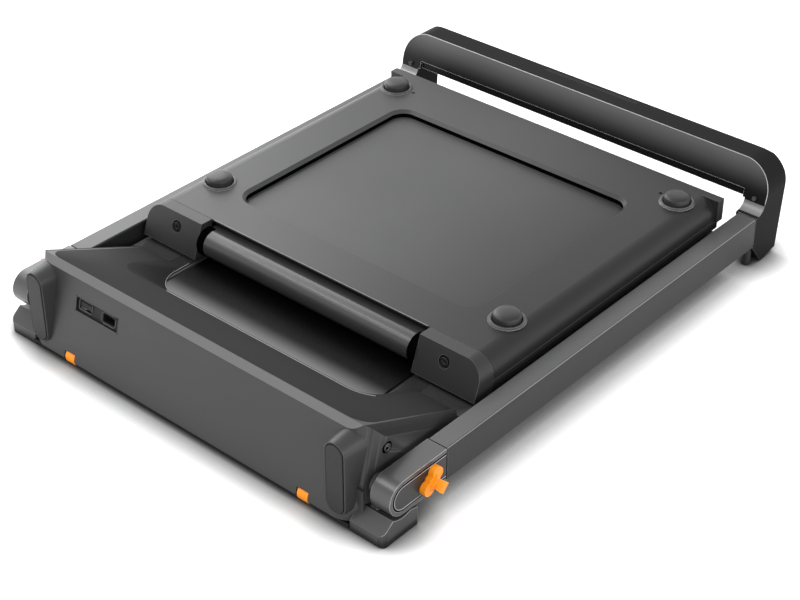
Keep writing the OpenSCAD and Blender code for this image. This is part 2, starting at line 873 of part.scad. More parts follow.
// Two ears on a base that is bolted against the frame, with a slot for the link.
module hinge_block(pin_y, pin_d, low_d, high_d) {
    difference() {
        block(block_x0, block_x1, block_y0, block_y1, -low_d, -high_d);
        block(slot_x0, slot_x1, slot_y, end_y + over, over - pin_d - link_r - 1.5 - over, 0);
        rod_x(pin_r, block_x0 + 2, block_x1 + over, pin_y, -pin_d);
    }
}

module lower_hinge_blocks() {
    pin_d = low_top - low_pin_z;
    color(gunmetal) in_low_deck() both_sides()
        hinge_block(low_pin_y, pin_d, pin_d + link_r + 4, belt_t + 0.5);
}

module upper_hinge_blocks() {
    pin_d = high_pin_z - high_base;
    color(gunmetal) in_high_deck() both_sides()
        hinge_block(high_pin_y, pin_d, pin_d + link_r + 6, belt_t + 0.5);
}

module hinge_pins(y, z) {
    color(steel) both_sides() rod_x(pin_r, block_x0 + 2, block_x1, y, z);
}

module lower_hinge_pins() {
    hinge_pins(low_pin_y, low_pin_z);
}

module upper_hinge_pins() {
    hinge_pins(high_pin_y, high_pin_z);
}

module hinge_link_right() {
    run = [high_pin_y - low_pin_y, high_pin_z - low_pin_z];
    link_len = norm(run);
    half_bar = link_r - link_waist;
    color(steel) difference() {
        across(link_x0, link_x0 + link_t) {
            translate([low_pin_y, low_pin_z]) circle(r = link_r);
            translate([high_pin_y, high_pin_z]) circle(r = link_r);
            translate([low_pin_y, low_pin_z]) rotate(atan2(run[1], run[0]))
                translate([0, -half_bar]) square([link_len, 2 * half_bar]);
        }
        rod_x(pin_r + fit, link_x0 - over, link_x0 + link_t + over, low_pin_y, low_pin_z);
        rod_x(pin_r + fit, link_x0 - over, link_x0 + link_t + over, high_pin_y, high_pin_z);
    }
}

module hinge_link_left() {
    left() hinge_link_right();
}

// The recess in the upper tray's underside, drawn in by the given amount.
module recess_outline(inset) {
    x = half_w - recess_side - inset;
    y0 = rear_tray_y + recess_near + inset;
    y1 = end_y - recess_end - inset;
    round_rect(-x, x, y0, y1, recess_r - inset);
}

// The rim slopes in by as much as it goes down, and the wall below it is upright.
module recess_room() {
    slope = 5;
    translate([0, 0, -deck_t - over]) linear_extrude(recess_d + over) recess_outline(slope);
    hull() {
        translate([0, 0, -deck_t - 0.02]) linear_extrude(0.02) recess_outline(0);
        translate([0, 0, -deck_t + slope - 0.02]) linear_extrude(0.02) recess_outline(slope);
    }
}

// The upper tray's far end is square, and fills the gap between the deck and the posts.
module tray_end() {
    ear_t = 15;
    ear_x = leg_x0 - 2;
    along(end_y - ear_t, end_y) difference() {
        translate([-ear_x, -deck_t]) square([2 * ear_x, deck_t - tray_split_d]);
        deck_outline(half_w - tray_wall, tray_in_d, edge_r - tray_wall, tray_split_d - over);
        translate([-half_w + edge_r, -deck_t - over]) square([2 * half_w - 2 * edge_r, deck_t]);
    }
}

module rear_tray() {
    color(graphite) in_high_deck() difference() {
        union() {
            tray_shell(rear_tray_y);
            tray_end();
            translate([0, 0, -tray_in_d - over]) linear_extrude(recess_d + over)
                recess_outline(-tray_wall);
        }
        recess_room();
        both_sides() rod_z(3, -deck_t - over, -deck_t + 2, foot_x - 32, foot_y1 + 5);
    }
}

module rear_frame() {
    color(gunmetal) in_high_deck() deck_frame(rear_tray_y + 20, [rear_tray_y + 40]);
}

module rear_board() {
    color([0.45, 0.36, 0.26]) in_high_deck() board(rear_tray_y + 20);
}

module rear_belt() {
    color(black) in_high_deck() belt(rear_roller_y);
}

module rear_rail_right() {
    color(graphite) in_high_deck() rail(rear_tray_y);
}

module rear_rail_left() {
    color(graphite) left() in_high_deck() rail(rear_tray_y);
}

module rear_feet() {
    color(black) translate([0, 0, high_top]) feet_at(0, foot_h, foot_dia / 2);
}

module foot_rings() {
    color(dark) translate([0, 0, high_top]) for (y = [foot_y0, foot_y1]) both_sides()
        translate([foot_x, y, 0]) difference() {
            cylinder(r = ring_dia / 2, h = ring_h);
            translate([0, 0, -over]) cylinder(r = foot_dia / 2, h = ring_h + 2 * over);
        }
}

// An end bracket continues the tray's outline past the roller and leans at its front.
module end_bracket() {
    pocket_x0 = tension_x + 12;
    difference() {
        intersection() {
            along(bracket_foot_y, rear_tray_y - seam) deck_outline(half_w, deck_t, edge_r, 0);
            across(bracket_x0, half_w) polygon([
                [bracket_y, -deck_t], [rear_tray_y, -deck_t],
                [rear_tray_y, 0], [bracket_foot_y, 0]]);
        }
        block(pocket_x0, half_w - 6, rear_tray_y - 14, rear_tray_y, -deck_t + 14, -6);
        rod_x(axle_r, bracket_x0 - over, axle_x, rear_roller_y, -roller_d);
        rod_y(4, bracket_foot_y - over, rear_tray_y + over, tension_x, -tension_d);
        rod_y(9, bracket_foot_y - over, bracket_y - 1, tension_x, -tension_d);
    }
    block(member_x0 + 10, tension_x - 12, rear_tray_y - seam - 1, rear_tray_y + 20 - seam,
        -side_member_d + 1, -board_d);
}

module end_bracket_right() {
    color(graphite) in_high_deck() end_bracket();
}

module end_bracket_left() {
    color(graphite) left() in_high_deck() end_bracket();
}

module rear_roller() {
    color(dark) in_high_deck() difference() {
        rod_x(roller_r, -belt_x + 2, belt_x - 2, rear_roller_y, -roller_d);
        rod_x(roller_r - 3, -belt_x + 14, belt_x - 14, rear_roller_y, -roller_d);
        rod_x(axle_r + fit, -belt_x, belt_x, rear_roller_y, -roller_d);
    }
}

module rear_axle() {
    color(steel) in_high_deck() rod_x(axle_r, -axle_x, axle_x, rear_roller_y, -roller_d);
}

module tension_bolts() {
    color(black) in_high_deck() both_sides() {
        rod_y(4, bracket_y - 3, rear_tray_y + 6, tension_x, -tension_d);
        difference() {
            rod_y(6.5, bracket_y - 7, bracket_y - 1, tension_x, -tension_d);
            translate([tension_x, bracket_y - 4, -tension_d]) rotate([90, 0, 0])
                cylinder(r = 3.5, h = 6, $fn = 6);
        }
    }
}

module post_tube() {
    color(gunmetal) difference() {
        along(post_y0, post_y1) round_rect(post_x0, post_x1, post_z, post_z + post_h, 3);
        along(post_y0 - over, post_y1 + over) round_rect(post_x0 + post_wall, post_x1 - post_wall,
            post_z + post_wall, post_z + post_h - post_wall, 1);
    }
}

module post_right() {
    post_tube();
}

module post_left() {
    left() post_tube();
}

module knuckle_outline(extra, y1) {
    r = knuckle_r + extra;
    translate([pivot_y, pivot_z]) circle(r = r);
    translate([pivot_y, pivot_z - r]) square([y1 - pivot_y, 2 * r]);
}

module knuckle() {
    clear = post_wall + seam;
    color(gunmetal) difference() {
        union() {
            across(post_x0, post_x1) knuckle_outline(0, pivot_y + knuckle_len);
            block(post_x0 + clear, post_x1 - clear, pivot_y + knuckle_len - over, post_y0 + 36,
                post_z + clear, post_z + post_h - clear);
        }
        rod_x(bolt_r + fit, post_x0 - over, post_x1 - 5, pivot_y, pivot_z);
        across(post_x1 - cap_t - 0.1, post_x1 + over) knuckle_outline(-6, pivot_y + knuckle_len + over);
        rod_x(4 + fit, post_x1 - 18, post_x1 + over, knob_y, pivot_z);
    }
}

module knuckle_right() {
    knuckle();
}

module knuckle_left() {
    left() knuckle();
}

module knuckle_caps() {
    color(graphite) both_sides() difference() {
        across(post_x1 - cap_t - 0.1, post_x1 - 0.1) knuckle_outline(-6.3, pivot_y + knuckle_len);
        rod_x(8, post_x1 - 10, post_x1 + over, knob_y, pivot_z);
    }
}

// A bar inside the far end of each post, and on into the leg.
module post_plugs() {
    clear = max(post_wall, bar_wall) + seam;
    color(black) both_sides() block(post_x0 + clear, post_x1 - clear, post_y1 - 40, post_y1 + 16,
        post_z + clear, post_z + post_h - clear);
}

function bar_front(z) = back_y - 59 + bar_lean * (z - 97);

// The handle's side view: a foot below the post, a hollow curve above it and a leaning front.
function fillet_r() = 18;
function fillet_z() = post_z + post_h + 0.3 + fillet_r();
function fillet_y() = bar_front(fillet_z()) - fillet_r() / cos(atan(bar_lean));
function handle_side(wall) = concat(
    [[leg_y + wall, post_z + 0.7 * wall], [leg_y + wall, fillet_z() - fillet_r() - wall]],
    [for (a = [-90 : 12 : -atan(bar_lean)])
        [fillet_y() + (fillet_r() + wall) * cos(a), fillet_z() + (fillet_r() + wall) * sin(a)]],
    [[bar_front(bar_top) + wall, bar_top - wall], [back_y - 4 - wall, bar_top - wall],
        [back_y - wall, bar_top - 5 - wall], [back_y - wall, bar_top - 29],
        [back_y - 10 - wall, 8 + wall], [back_y - 50, 1 + 1.4 * wall]]);

// The handle's front view: two legs and a crossbar with rounded shoulders.
module handle_front(wall) {
    r = bar_r - wall;
    x1 = post_x1 - wall;
    x0 = leg_x0 + wall;
    top = bar_top - wall;
    difference() {
        union() {
            translate([-x1, -over]) square([2 * x1, top + over - r]);
            translate([r - x1, -over]) square([2 * (x1 - r), top + over]);
            for (x = [r - x1, x1 - r]) translate([x, top - r]) circle(r = r);
        }
        translate([-x0, -2 * over]) square([2 * x0, bar_under + wall + 2 * over]);
    }
}

module handle_shell() {
    band_h = 13;
    band_d = 5;
    color(graphite) difference() {
        intersection() {
            along(leg_y - over, back_y) handle_front(0);
            across(-post_x1, post_x1) polygon(handle_side(0));
        }
        intersection() {
            along(leg_y - over, back_y) handle_front(bar_wall);
            across(-post_x1, post_x1) polygon(handle_side(bar_wall));
            union() {
                both_sides() block(leg_x0, post_x1, leg_y, back_y, 0, bar_top);
                block(-post_x1, post_x1, bar_front(bar_under) + band_d + 6, back_y, bar_under, bar_top);
            }
        }
        across(4 - leg_x0, leg_x0 - 4) polygon([
            [bar_front(bar_under) - 4, bar_under - over],
            [bar_front(bar_under) + band_d, bar_under - over],
            [bar_front(bar_under + band_h) + band_d, bar_under + band_h],
            [bar_front(bar_under + band_h) - 4, bar_under + band_h]]);
        block(-console_x, console_x, console_y0(), console_y1(),
            bar_under - over, bar_under + bar_wall + over);
        both_sides() block(post_x0 + post_wall, post_x1 - post_wall, leg_y - over, leg_y + bar_wall + over,
            post_z + post_wall, post_z + post_h - post_wall);
        both_sides() rod_y(2, leg_y, leg_y + 45, leg_screw_x(), leg_screw_z());
    }
}

function leg_screw_x() = post_x1 - 19;
function leg_screw_z() = 107.6;
function console_y0() = bar_front(bar_under) + 14;
function console_y1() = back_y - 16;

module console_panel() {
    mid = (console_y0() + console_y1()) / 2;
    color(dark) difference() {
        block(seam - console_x, console_x - seam, console_y0() + seam, console_y1() - seam,
            bar_under, bar_under + bar_wall + 1.5);
        block(-lens_x - seam, lens_x + seam, mid - 12, mid + 12, bar_under - over, bar_under + 1.5);
        rod_z(3 + fit, bar_under - over, bar_under + 8, dial_x, mid);
    }
}

module display_lens() {
    mid = (console_y0() + console_y1()) / 2;
    color(black) block(-lens_x, lens_x, mid - 11.7, mid + 11.7, bar_under, bar_under + 1.5);
}

module speed_dial() {
    mid = (console_y0() + console_y1()) / 2;
    color(orange) {
        difference() {
            rod_z(dial_dia / 2, bar_under - dial_h, bar_under - seam, dial_x, mid);
            for (a = [0 : 30 : 330]) translate([dial_x, mid, 0]) rotate(a)
                rod_z(1, bar_under - dial_h - over, bar_under - 2, dial_dia / 2, 0);
        }
        rod_z(3, bar_under - seam - over, bar_under + bar_wall + 1, dial_x, mid);
    }
}

// Small feet where the handle meets the floor.
module bar_feet() {
    foot_y = leg_y + 9;
    foot_top = post_z - (foot_y - leg_y - 8) * 1.1;
    color(black) both_sides() intersection() {
        rod_z(7, 0, foot_top, post_x1 - 14, foot_y);
        across(0, pad_w) polygon([
            [leg_y - 20, 0], [back_y - 50, 0], [back_y - 50, 1 - seam / 10],
            [leg_y, post_z - seam / 10], [leg_y - 20, post_z - seam / 10]]);
    }
}

module leg_screws() {
    head_y = bar_front(leg_screw_z());
    color(steel) both_sides() {
        rod_y(2, head_y - 1.2, head_y + 12, leg_screw_x(), leg_screw_z());
        rod_y(3.6, head_y - 3.2, head_y - 1.1, leg_screw_x(), leg_screw_z());
    }
}

// Two lobes and a flared fin on a shaft that turns in the knuckle.
module knob() {
    lobe_angle = 45;
    color(orange) {
        rod_x(4, post_x1 - 17, post_x1 + 2, knob_y, pivot_z);
        translate([post_x1 + seam, knob_y, pivot_z]) rotate([lobe_angle, 0, 0]) {
            for (s = [-1, 1]) rod_x(lobe_r, 0, knob_t, s * lobe_reach, 0);
            rod_x(7, 0, knob_t, 0, 0);
            hull() {
                block(knob_t - 4, knob_t - 3, -lobe_reach - 4, lobe_reach + 4, -3, 3);
                block(knob_t + 3, knob_t + 4, -7, 7, -3.5, 3.5);
            }
            hull() {
                block(knob_t, knob_t + 1, -6, 6, -3, 3);
                block(knob_t + fin_len - 1, knob_t + fin_len, -8, 8, -4, 4);
            }
        }
    }
}

module knob_right() {
    knob();
}

module knob_left() {
    left() knob();
}

front_tray();
front_frame();
front_board();
front_belt();
front_rail_left();
front_rail_right();
front_feet();
front_roller();
roller_bearings();
roller_pulley();
drive_belt();
motor_body();
motor_pulley();
motor_mount();
control_board();
motor_cover();
bumpers();
power_panel();
power_rocker();
power_inlet();
wheel_left();
wheel_right();
wheel_axles();
base_shoes();
pivot_bolts();
side_catch();
cover_screws();
lower_hinge_blocks();
lower_hinge_pins();
hinge_link_left();
hinge_link_right();
rear_tray();
rear_frame();
rear_board();
rear_belt();
rear_rail_left();
rear_rail_right();
rear_feet();
foot_rings();
end_bracket_left();
end_bracket_right();
rear_roller();
rear_axle();
tension_bolts();
upper_hinge_blocks();
upper_hinge_pins();
post_left();
post_right();
knuckle_left();
knuckle_right();
knuckle_caps();
post_plugs();
handle_shell();
console_panel();
display_lens();
speed_dial();
bar_feet();
leg_screws();
knob_left();
knob_right();
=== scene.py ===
import json
import math
import bpy
import bmesh
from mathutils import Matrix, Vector

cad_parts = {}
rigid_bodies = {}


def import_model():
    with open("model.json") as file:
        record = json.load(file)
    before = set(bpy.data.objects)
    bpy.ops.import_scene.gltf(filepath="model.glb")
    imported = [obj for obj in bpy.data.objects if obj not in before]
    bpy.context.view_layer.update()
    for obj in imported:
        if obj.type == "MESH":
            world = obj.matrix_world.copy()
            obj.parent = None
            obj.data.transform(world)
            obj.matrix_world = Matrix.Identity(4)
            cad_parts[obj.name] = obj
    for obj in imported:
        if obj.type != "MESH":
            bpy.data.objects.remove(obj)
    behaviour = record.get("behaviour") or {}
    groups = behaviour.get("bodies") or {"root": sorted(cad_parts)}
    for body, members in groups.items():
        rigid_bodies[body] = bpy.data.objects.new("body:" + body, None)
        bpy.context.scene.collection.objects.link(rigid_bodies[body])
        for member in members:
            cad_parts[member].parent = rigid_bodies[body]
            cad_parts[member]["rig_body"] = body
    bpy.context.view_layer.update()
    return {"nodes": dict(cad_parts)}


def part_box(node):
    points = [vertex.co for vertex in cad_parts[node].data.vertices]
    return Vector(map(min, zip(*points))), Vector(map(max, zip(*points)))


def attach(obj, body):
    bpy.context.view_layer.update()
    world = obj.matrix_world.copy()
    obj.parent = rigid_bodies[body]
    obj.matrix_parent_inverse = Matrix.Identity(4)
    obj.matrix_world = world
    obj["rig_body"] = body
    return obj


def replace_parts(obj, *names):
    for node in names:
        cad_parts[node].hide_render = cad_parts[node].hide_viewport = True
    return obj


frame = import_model()
nodes = frame["nodes"]
mm = 0.001


def newObject(name, data):
    obj = bpy.data.objects.new(name, data)
    bpy.context.scene.collection.objects.link(obj)
    return obj


# the photograph's own viewpoint
view = {"place": (1.47045, -1.7001, 1.5093), "pitch": 34.26, "turn": 41.09, "lens": 81.27,
        "sensor": 36, "near": 0.05}
camData = bpy.data.cameras.new("photoCamera")
camData.lens = view["lens"]
camData.sensor_width = view["sensor"]
camData.sensor_fit = "HORIZONTAL"
camData.clip_start = view["near"]
camera = newObject("photoCamera", camData)
camera.location = view["place"]
camera.rotation_euler = (math.radians(90 - view["pitch"]), 0, math.radians(view["turn"]))
bpy.context.scene.camera = camera
bpy.context.scene.view_settings.view_transform = "Standard"

lamps = {
    "leftWindow": {"at": (-1.5, 0.45, 1.15), "aim": (-0.05, 0, 0.1), "size": (1.4, 1.6),
                   "watts": 26},
    "topStrip": {"at": (-2.0, -1.5, 3.0), "aim": (0, -0.2, 0.1), "size": (2.4, 0.7), "watts": 42},
    "backSoft": {"at": (-1.3, 2.9, 1.9), "aim": (0, 0, 0.1), "size": (2.2, 1.2), "watts": 6},
    "rightStrip": {"at": (2.4, -0.6, 0.8), "aim": (0.3, -0.2, 0.08), "size": (2.6, 0.5),
                   "watts": 16},
}
for name, plan in lamps.items():
    data = bpy.data.lights.new(name, "AREA")
    data.shape = "RECTANGLE"
    data.size, data.size_y = plan["size"]
    data.energy = plan["watts"]
    lamp = newObject(name, data)
    lamp.location = plan["at"]
    toAim = Vector(plan["aim"]) - Vector(plan["at"])
    lamp.rotation_euler = toAim.to_track_quat("-Z", "Y").to_euler()

# the room is bright near the floor and dim overhead, as round a paper sweep
# the reach, power and samples of the floor's painted shadow near the object are set here too
studio = {"low": 1.7, "high": 0.85, "lowRise": 0.05, "highRise": 0.7,
          "floorSeen": (0.97, 0.97, 0.97, 1), "floorBounce": (0.22, 0.22, 0.22, 1),
          "paintedShadowReach": 0.05, "paintedShadowPower": 2.6, "paintedShadowSamples": 12, "floorGlow": 0.35,
          "floorHalf": 12, "floorDrop": 0.0004}
world = bpy.data.worlds.new("studio")
bpy.context.scene.world = world
world.use_nodes = True
tree = world.node_tree
tree.nodes.clear()
out = tree.nodes.new("ShaderNodeOutputWorld")
mixer = tree.nodes.new("ShaderNodeMixShader")
path = tree.nodes.new("ShaderNodeLightPath")
dim = tree.nodes.new("ShaderNodeBackground")
bright = tree.nodes.new("ShaderNodeBackground")
sky = tree.nodes.new("ShaderNodeTexCoord")
split = tree.nodes.new("ShaderNodeSeparateXYZ")
rise = tree.nodes.new("ShaderNodeMapRange")
rise.interpolation_type = "SMOOTHSTEP"
for socket, value in (("From Min", "lowRise"), ("From Max", "highRise"), ("To Min", "low"),
                      ("To Max", "high")):
    rise.inputs[socket].default_value = studio[value]
tree.links.new(sky.outputs["Generated"], split.inputs[0])
tree.links.new(split.outputs["Z"], rise.inputs["Value"])
tree.links.new(rise.outputs[0], dim.inputs["Strength"])
dim.inputs["Color"].default_value = (1, 1, 1, 1)
bright.inputs["Color"].default_value = (1, 1, 1, 1)
tree.links.new(path.outputs["Is Camera Ray"], mixer.inputs[0])
tree.links.new(dim.outputs[0], mixer.inputs[1])
tree.links.new(bright.outputs[0], mixer.inputs[2])
tree.links.new(mixer.outputs[0], out.inputs[0])
print("camera and lamps ready")


# shader groups and what they are built from
def newGroup(name, ins, outs):
    group = bpy.data.node_groups.new(name, "ShaderNodeTree")
    for label, kind, value in ins:
        socket = group.interface.new_socket(name=label, in_out="INPUT", socket_type=kind)
        socket.default_value = value
    for label, kind in outs:
        group.interface.new_socket(name=label, in_out="OUTPUT", socket_type=kind)
    groupIn = group.nodes.new("NodeGroupInput")
    groupOut = group.nodes.new("NodeGroupOutput")
    return group, groupIn.outputs, groupOut.inputs


def mathNode(tree, op, a, b=None):
    n = tree.nodes.new("ShaderNodeMath")
    n.operation = op
    for k, v in enumerate((a, b)):
        if v is None:
            continue
        if isinstance(v, (int, float)):
            n.inputs[k].default_value = v
        else:
            tree.links.new(v, n.inputs[k])
    return n.outputs[0]


def noiseNode(tree, vector, scale, detail=3.0):
    n = tree.nodes.new("ShaderNodeTexNoise")
    n.inputs["Detail"].default_value = detail
    tree.links.new(vector, n.inputs["Vector"])
    if isinstance(scale, (int, float)):
        n.inputs["Scale"].default_value = scale
    else:
        tree.links.new(scale, n.inputs["Scale"])
    return n.outputs["Fac"]


def mixColors(tree, fac, a, b):
    n = tree.nodes.new("ShaderNodeMix")
    n.data_type = "RGBA"
    for socket, v in ((n.inputs[0], fac), (n.inputs[6], a), (n.inputs[7], b)):
        if isinstance(v, (int, float, tuple)):
            socket.default_value = v
        else:
            tree.links.new(v, socket)
    return n.outputs[2]


# fine texture of a moulded or painted surface, with soft cloudy changes in tone
grain, gIn, gOut = newGroup(
    "mouldGrain",
    [("Base", "NodeSocketColor", (0.1, 0.1, 0.1, 1)), ("Tint", "NodeSocketFloat", 0.2),
     ("Cell Scale", "NodeSocketFloat", 900), ("Cloud Scale", "NodeSocketFloat", 9),
     ("Roughness", "NodeSocketFloat", 0.5), ("Roughness Change", "NodeSocketFloat", 0.1)],
    [("Color", "NodeSocketColor"), ("Roughness", "NodeSocketFloat"),
     ("Height", "NodeSocketFloat")])
where = grain.nodes.new("ShaderNodeTexCoord").outputs["Object"]
cloud = noiseNode(grain, where, gIn["Cloud Scale"], 4.0)
cells = grain.nodes.new("ShaderNodeTexVoronoi")
cells.feature = "SMOOTH_F1"
grain.links.new(where, cells.inputs["Vector"])
grain.links.new(gIn["Cell Scale"], cells.inputs["Scale"])
speckScale = mathNode(grain, "MULTIPLY", gIn["Cell Scale"], 0.37)  # specks wider than the cells
fine = noiseNode(grain, where, speckScale, 2.0)
shift = mathNode(grain, "MULTIPLY", mathNode(grain, "SUBTRACT", cloud, 0.5), gIn["Tint"])
level = grain.nodes.new("ShaderNodeHueSaturation")
grain.links.new(mathNode(grain, "ADD", shift, 1.0), level.inputs["Value"])
grain.links.new(gIn["Base"], level.inputs["Color"])
grain.links.new(level.outputs[0], gOut["Color"])
centred = mathNode(grain, "SUBTRACT", fine, 0.5)
rough = mathNode(grain, "MULTIPLY", centred, gIn["Roughness Change"])
grain.links.new(mathNode(grain, "ADD", rough, gIn["Roughness"]), gOut["Roughness"])
grain.links.new(mathNode(grain, "MULTIPLY", cells.outputs["Distance"], fine), gOut["Height"])

# worn and highlighted edges: the mask is where the shading normal turns inside a small radius, and
# it paints wear together with a painted highlight along the edges
wearAndHighlight = {"samples": 4, "radius": 0.0012, "patchScale": 60, "patchLift": 0.4, "gain": 5.0}
edges, eIn, eOut = newGroup(
    "edgeWearAndHighlight",
    [("Color", "NodeSocketColor", (0.1, 0.1, 0.1, 1)),
     ("Edge Color", "NodeSocketColor", (0.3, 0.3, 0.3, 1)), ("Amount", "NodeSocketFloat", 0.4)],
    [("Color", "NodeSocketColor"), ("Mask", "NodeSocketFloat")])
turn = edges.nodes.new("ShaderNodeBevel")
turn.samples = wearAndHighlight["samples"]
turn.inputs["Radius"].default_value = wearAndHighlight["radius"]
geo = edges.nodes.new("ShaderNodeNewGeometry")
dot = edges.nodes.new("ShaderNodeVectorMath")
dot.operation = "DOT_PRODUCT"
edges.links.new(turn.outputs["Normal"], dot.inputs[0])
edges.links.new(geo.outputs["Normal"], dot.inputs[1])
place = edges.nodes.new("ShaderNodeTexCoord").outputs["Object"]
spot = noiseNode(edges, place, wearAndHighlight["patchScale"])
off = mathNode(edges, "SUBTRACT", 1.0, dot.outputs["Value"])
bend = mathNode(edges, "MULTIPLY", off, wearAndHighlight["gain"])
patchy = mathNode(edges, "MULTIPLY", bend, mathNode(edges, "ADD", spot, wearAndHighlight["patchLift"]))
rubAndHighlight = mathNode(edges, "MULTIPLY", patchy, eIn["Amount"])
held = edges.nodes.new("ShaderNodeClamp")
edges.links.new(rubAndHighlight, held.inputs[0])
edges.links.new(held.outputs[0], eOut["Mask"])
wornAndHighlighted = mixColors(edges, held.outputs[0], eIn["Color"], eIn["Edge Color"])
edges.links.new(wornAndHighlighted, eOut["Color"])

# a mask that runs from 0 to 1 between two places along one direction of the object
span, sIn, sOut = newGroup(
    "spanMask",
    [("Along", "NodeSocketVector", (0, 0, 1)), ("From", "NodeSocketFloat", 0.0),
     ("To", "NodeSocketFloat", 1.0)],
    [("Mask", "NodeSocketFloat")])
along = span.nodes.new("ShaderNodeVectorMath")
along.operation = "DOT_PRODUCT"
span.links.new(span.nodes.new("ShaderNodeTexCoord").outputs["Object"], along.inputs[0])
span.links.new(sIn["Along"], along.inputs[1])
between = span.nodes.new("ShaderNodeMapRange")
between.interpolation_type = "SMOOTHSTEP"
span.links.new(along.outputs["Value"], between.inputs["Value"])
span.links.new(sIn["From"], between.inputs["From Min"])
span.links.new(sIn["To"], between.inputs["From Max"])
span.links.new(between.outputs[0], sOut["Mask"])


def groupNode(tree, group, values):
    node = tree.nodes.new("ShaderNodeGroup")
    node.node_tree = group
    for label, value in values.items():
        node.inputs[label].default_value = value
    return node


# fade is (direction, start and end in mm, colour at the end), the amount of rubbing says how worn
# the edges are and how bright their painted highlight is
def finish(name, base, roughness, metallic=0.0, tint=0.2, cell=900, cloud=9, change=0.1, depth=0.1,
           rubAndHighlight=0.35, edge=None, coat=0.0, specular=0.35, fade=None, glow=0.0):
    mat = bpy.data.materials.new(name)
    mat.use_nodes = True
    tree = mat.node_tree
    shader = tree.nodes["Principled BSDF"]
    base = (*base, 1)
    skin = groupNode(tree, grain, {"Base": base, "Tint": tint, "Cell Scale": cell,
                                   "Cloud Scale": cloud, "Roughness": roughness,
                                   "Roughness Change": change})
    if fade is not None:
        axis, start, end, other = fade
        mask = groupNode(tree, span, {"Along": axis, "From": start * mm, "To": end * mm})
        faded = mixColors(tree, mask.outputs["Mask"], base, (*other, 1))
        tree.links.new(faded, skin.inputs["Base"])
    color = skin.outputs["Color"]
    if rubAndHighlight > 0:
        # pale edge colour for the worn edges and their painted highlight
        paleWearAndHighlight = tuple(min(1, 2.2 * c + 0.03) for c in base[:3]) + (1,)
        wornAndHighlightedSkin = groupNode(tree, edges, {"Amount": rubAndHighlight, "Edge Color": edge or paleWearAndHighlight})
        tree.links.new(color, wornAndHighlightedSkin.inputs["Color"])
        color = wornAndHighlightedSkin.outputs["Color"]
    tree.links.new(color, shader.inputs["Base Color"])
    tree.links.new(skin.outputs["Roughness"], shader.inputs["Roughness"])
    bump = tree.nodes.new("ShaderNodeBump")
    bump.inputs["Strength"].default_value = depth
    bump.inputs["Distance"].default_value = 0.4 * mm
    tree.links.new(skin.outputs["Height"], bump.inputs["Height"])
    tree.links.new(bump.outputs[0], shader.inputs["Normal"])
    for label, value in (("Metallic", metallic), ("Coat Weight", coat),
                         ("Specular IOR Level", specular), ("Emission Color", base),
                         ("Emission Strength", glow)):
        shader.inputs[label].default_value = value
    return mat


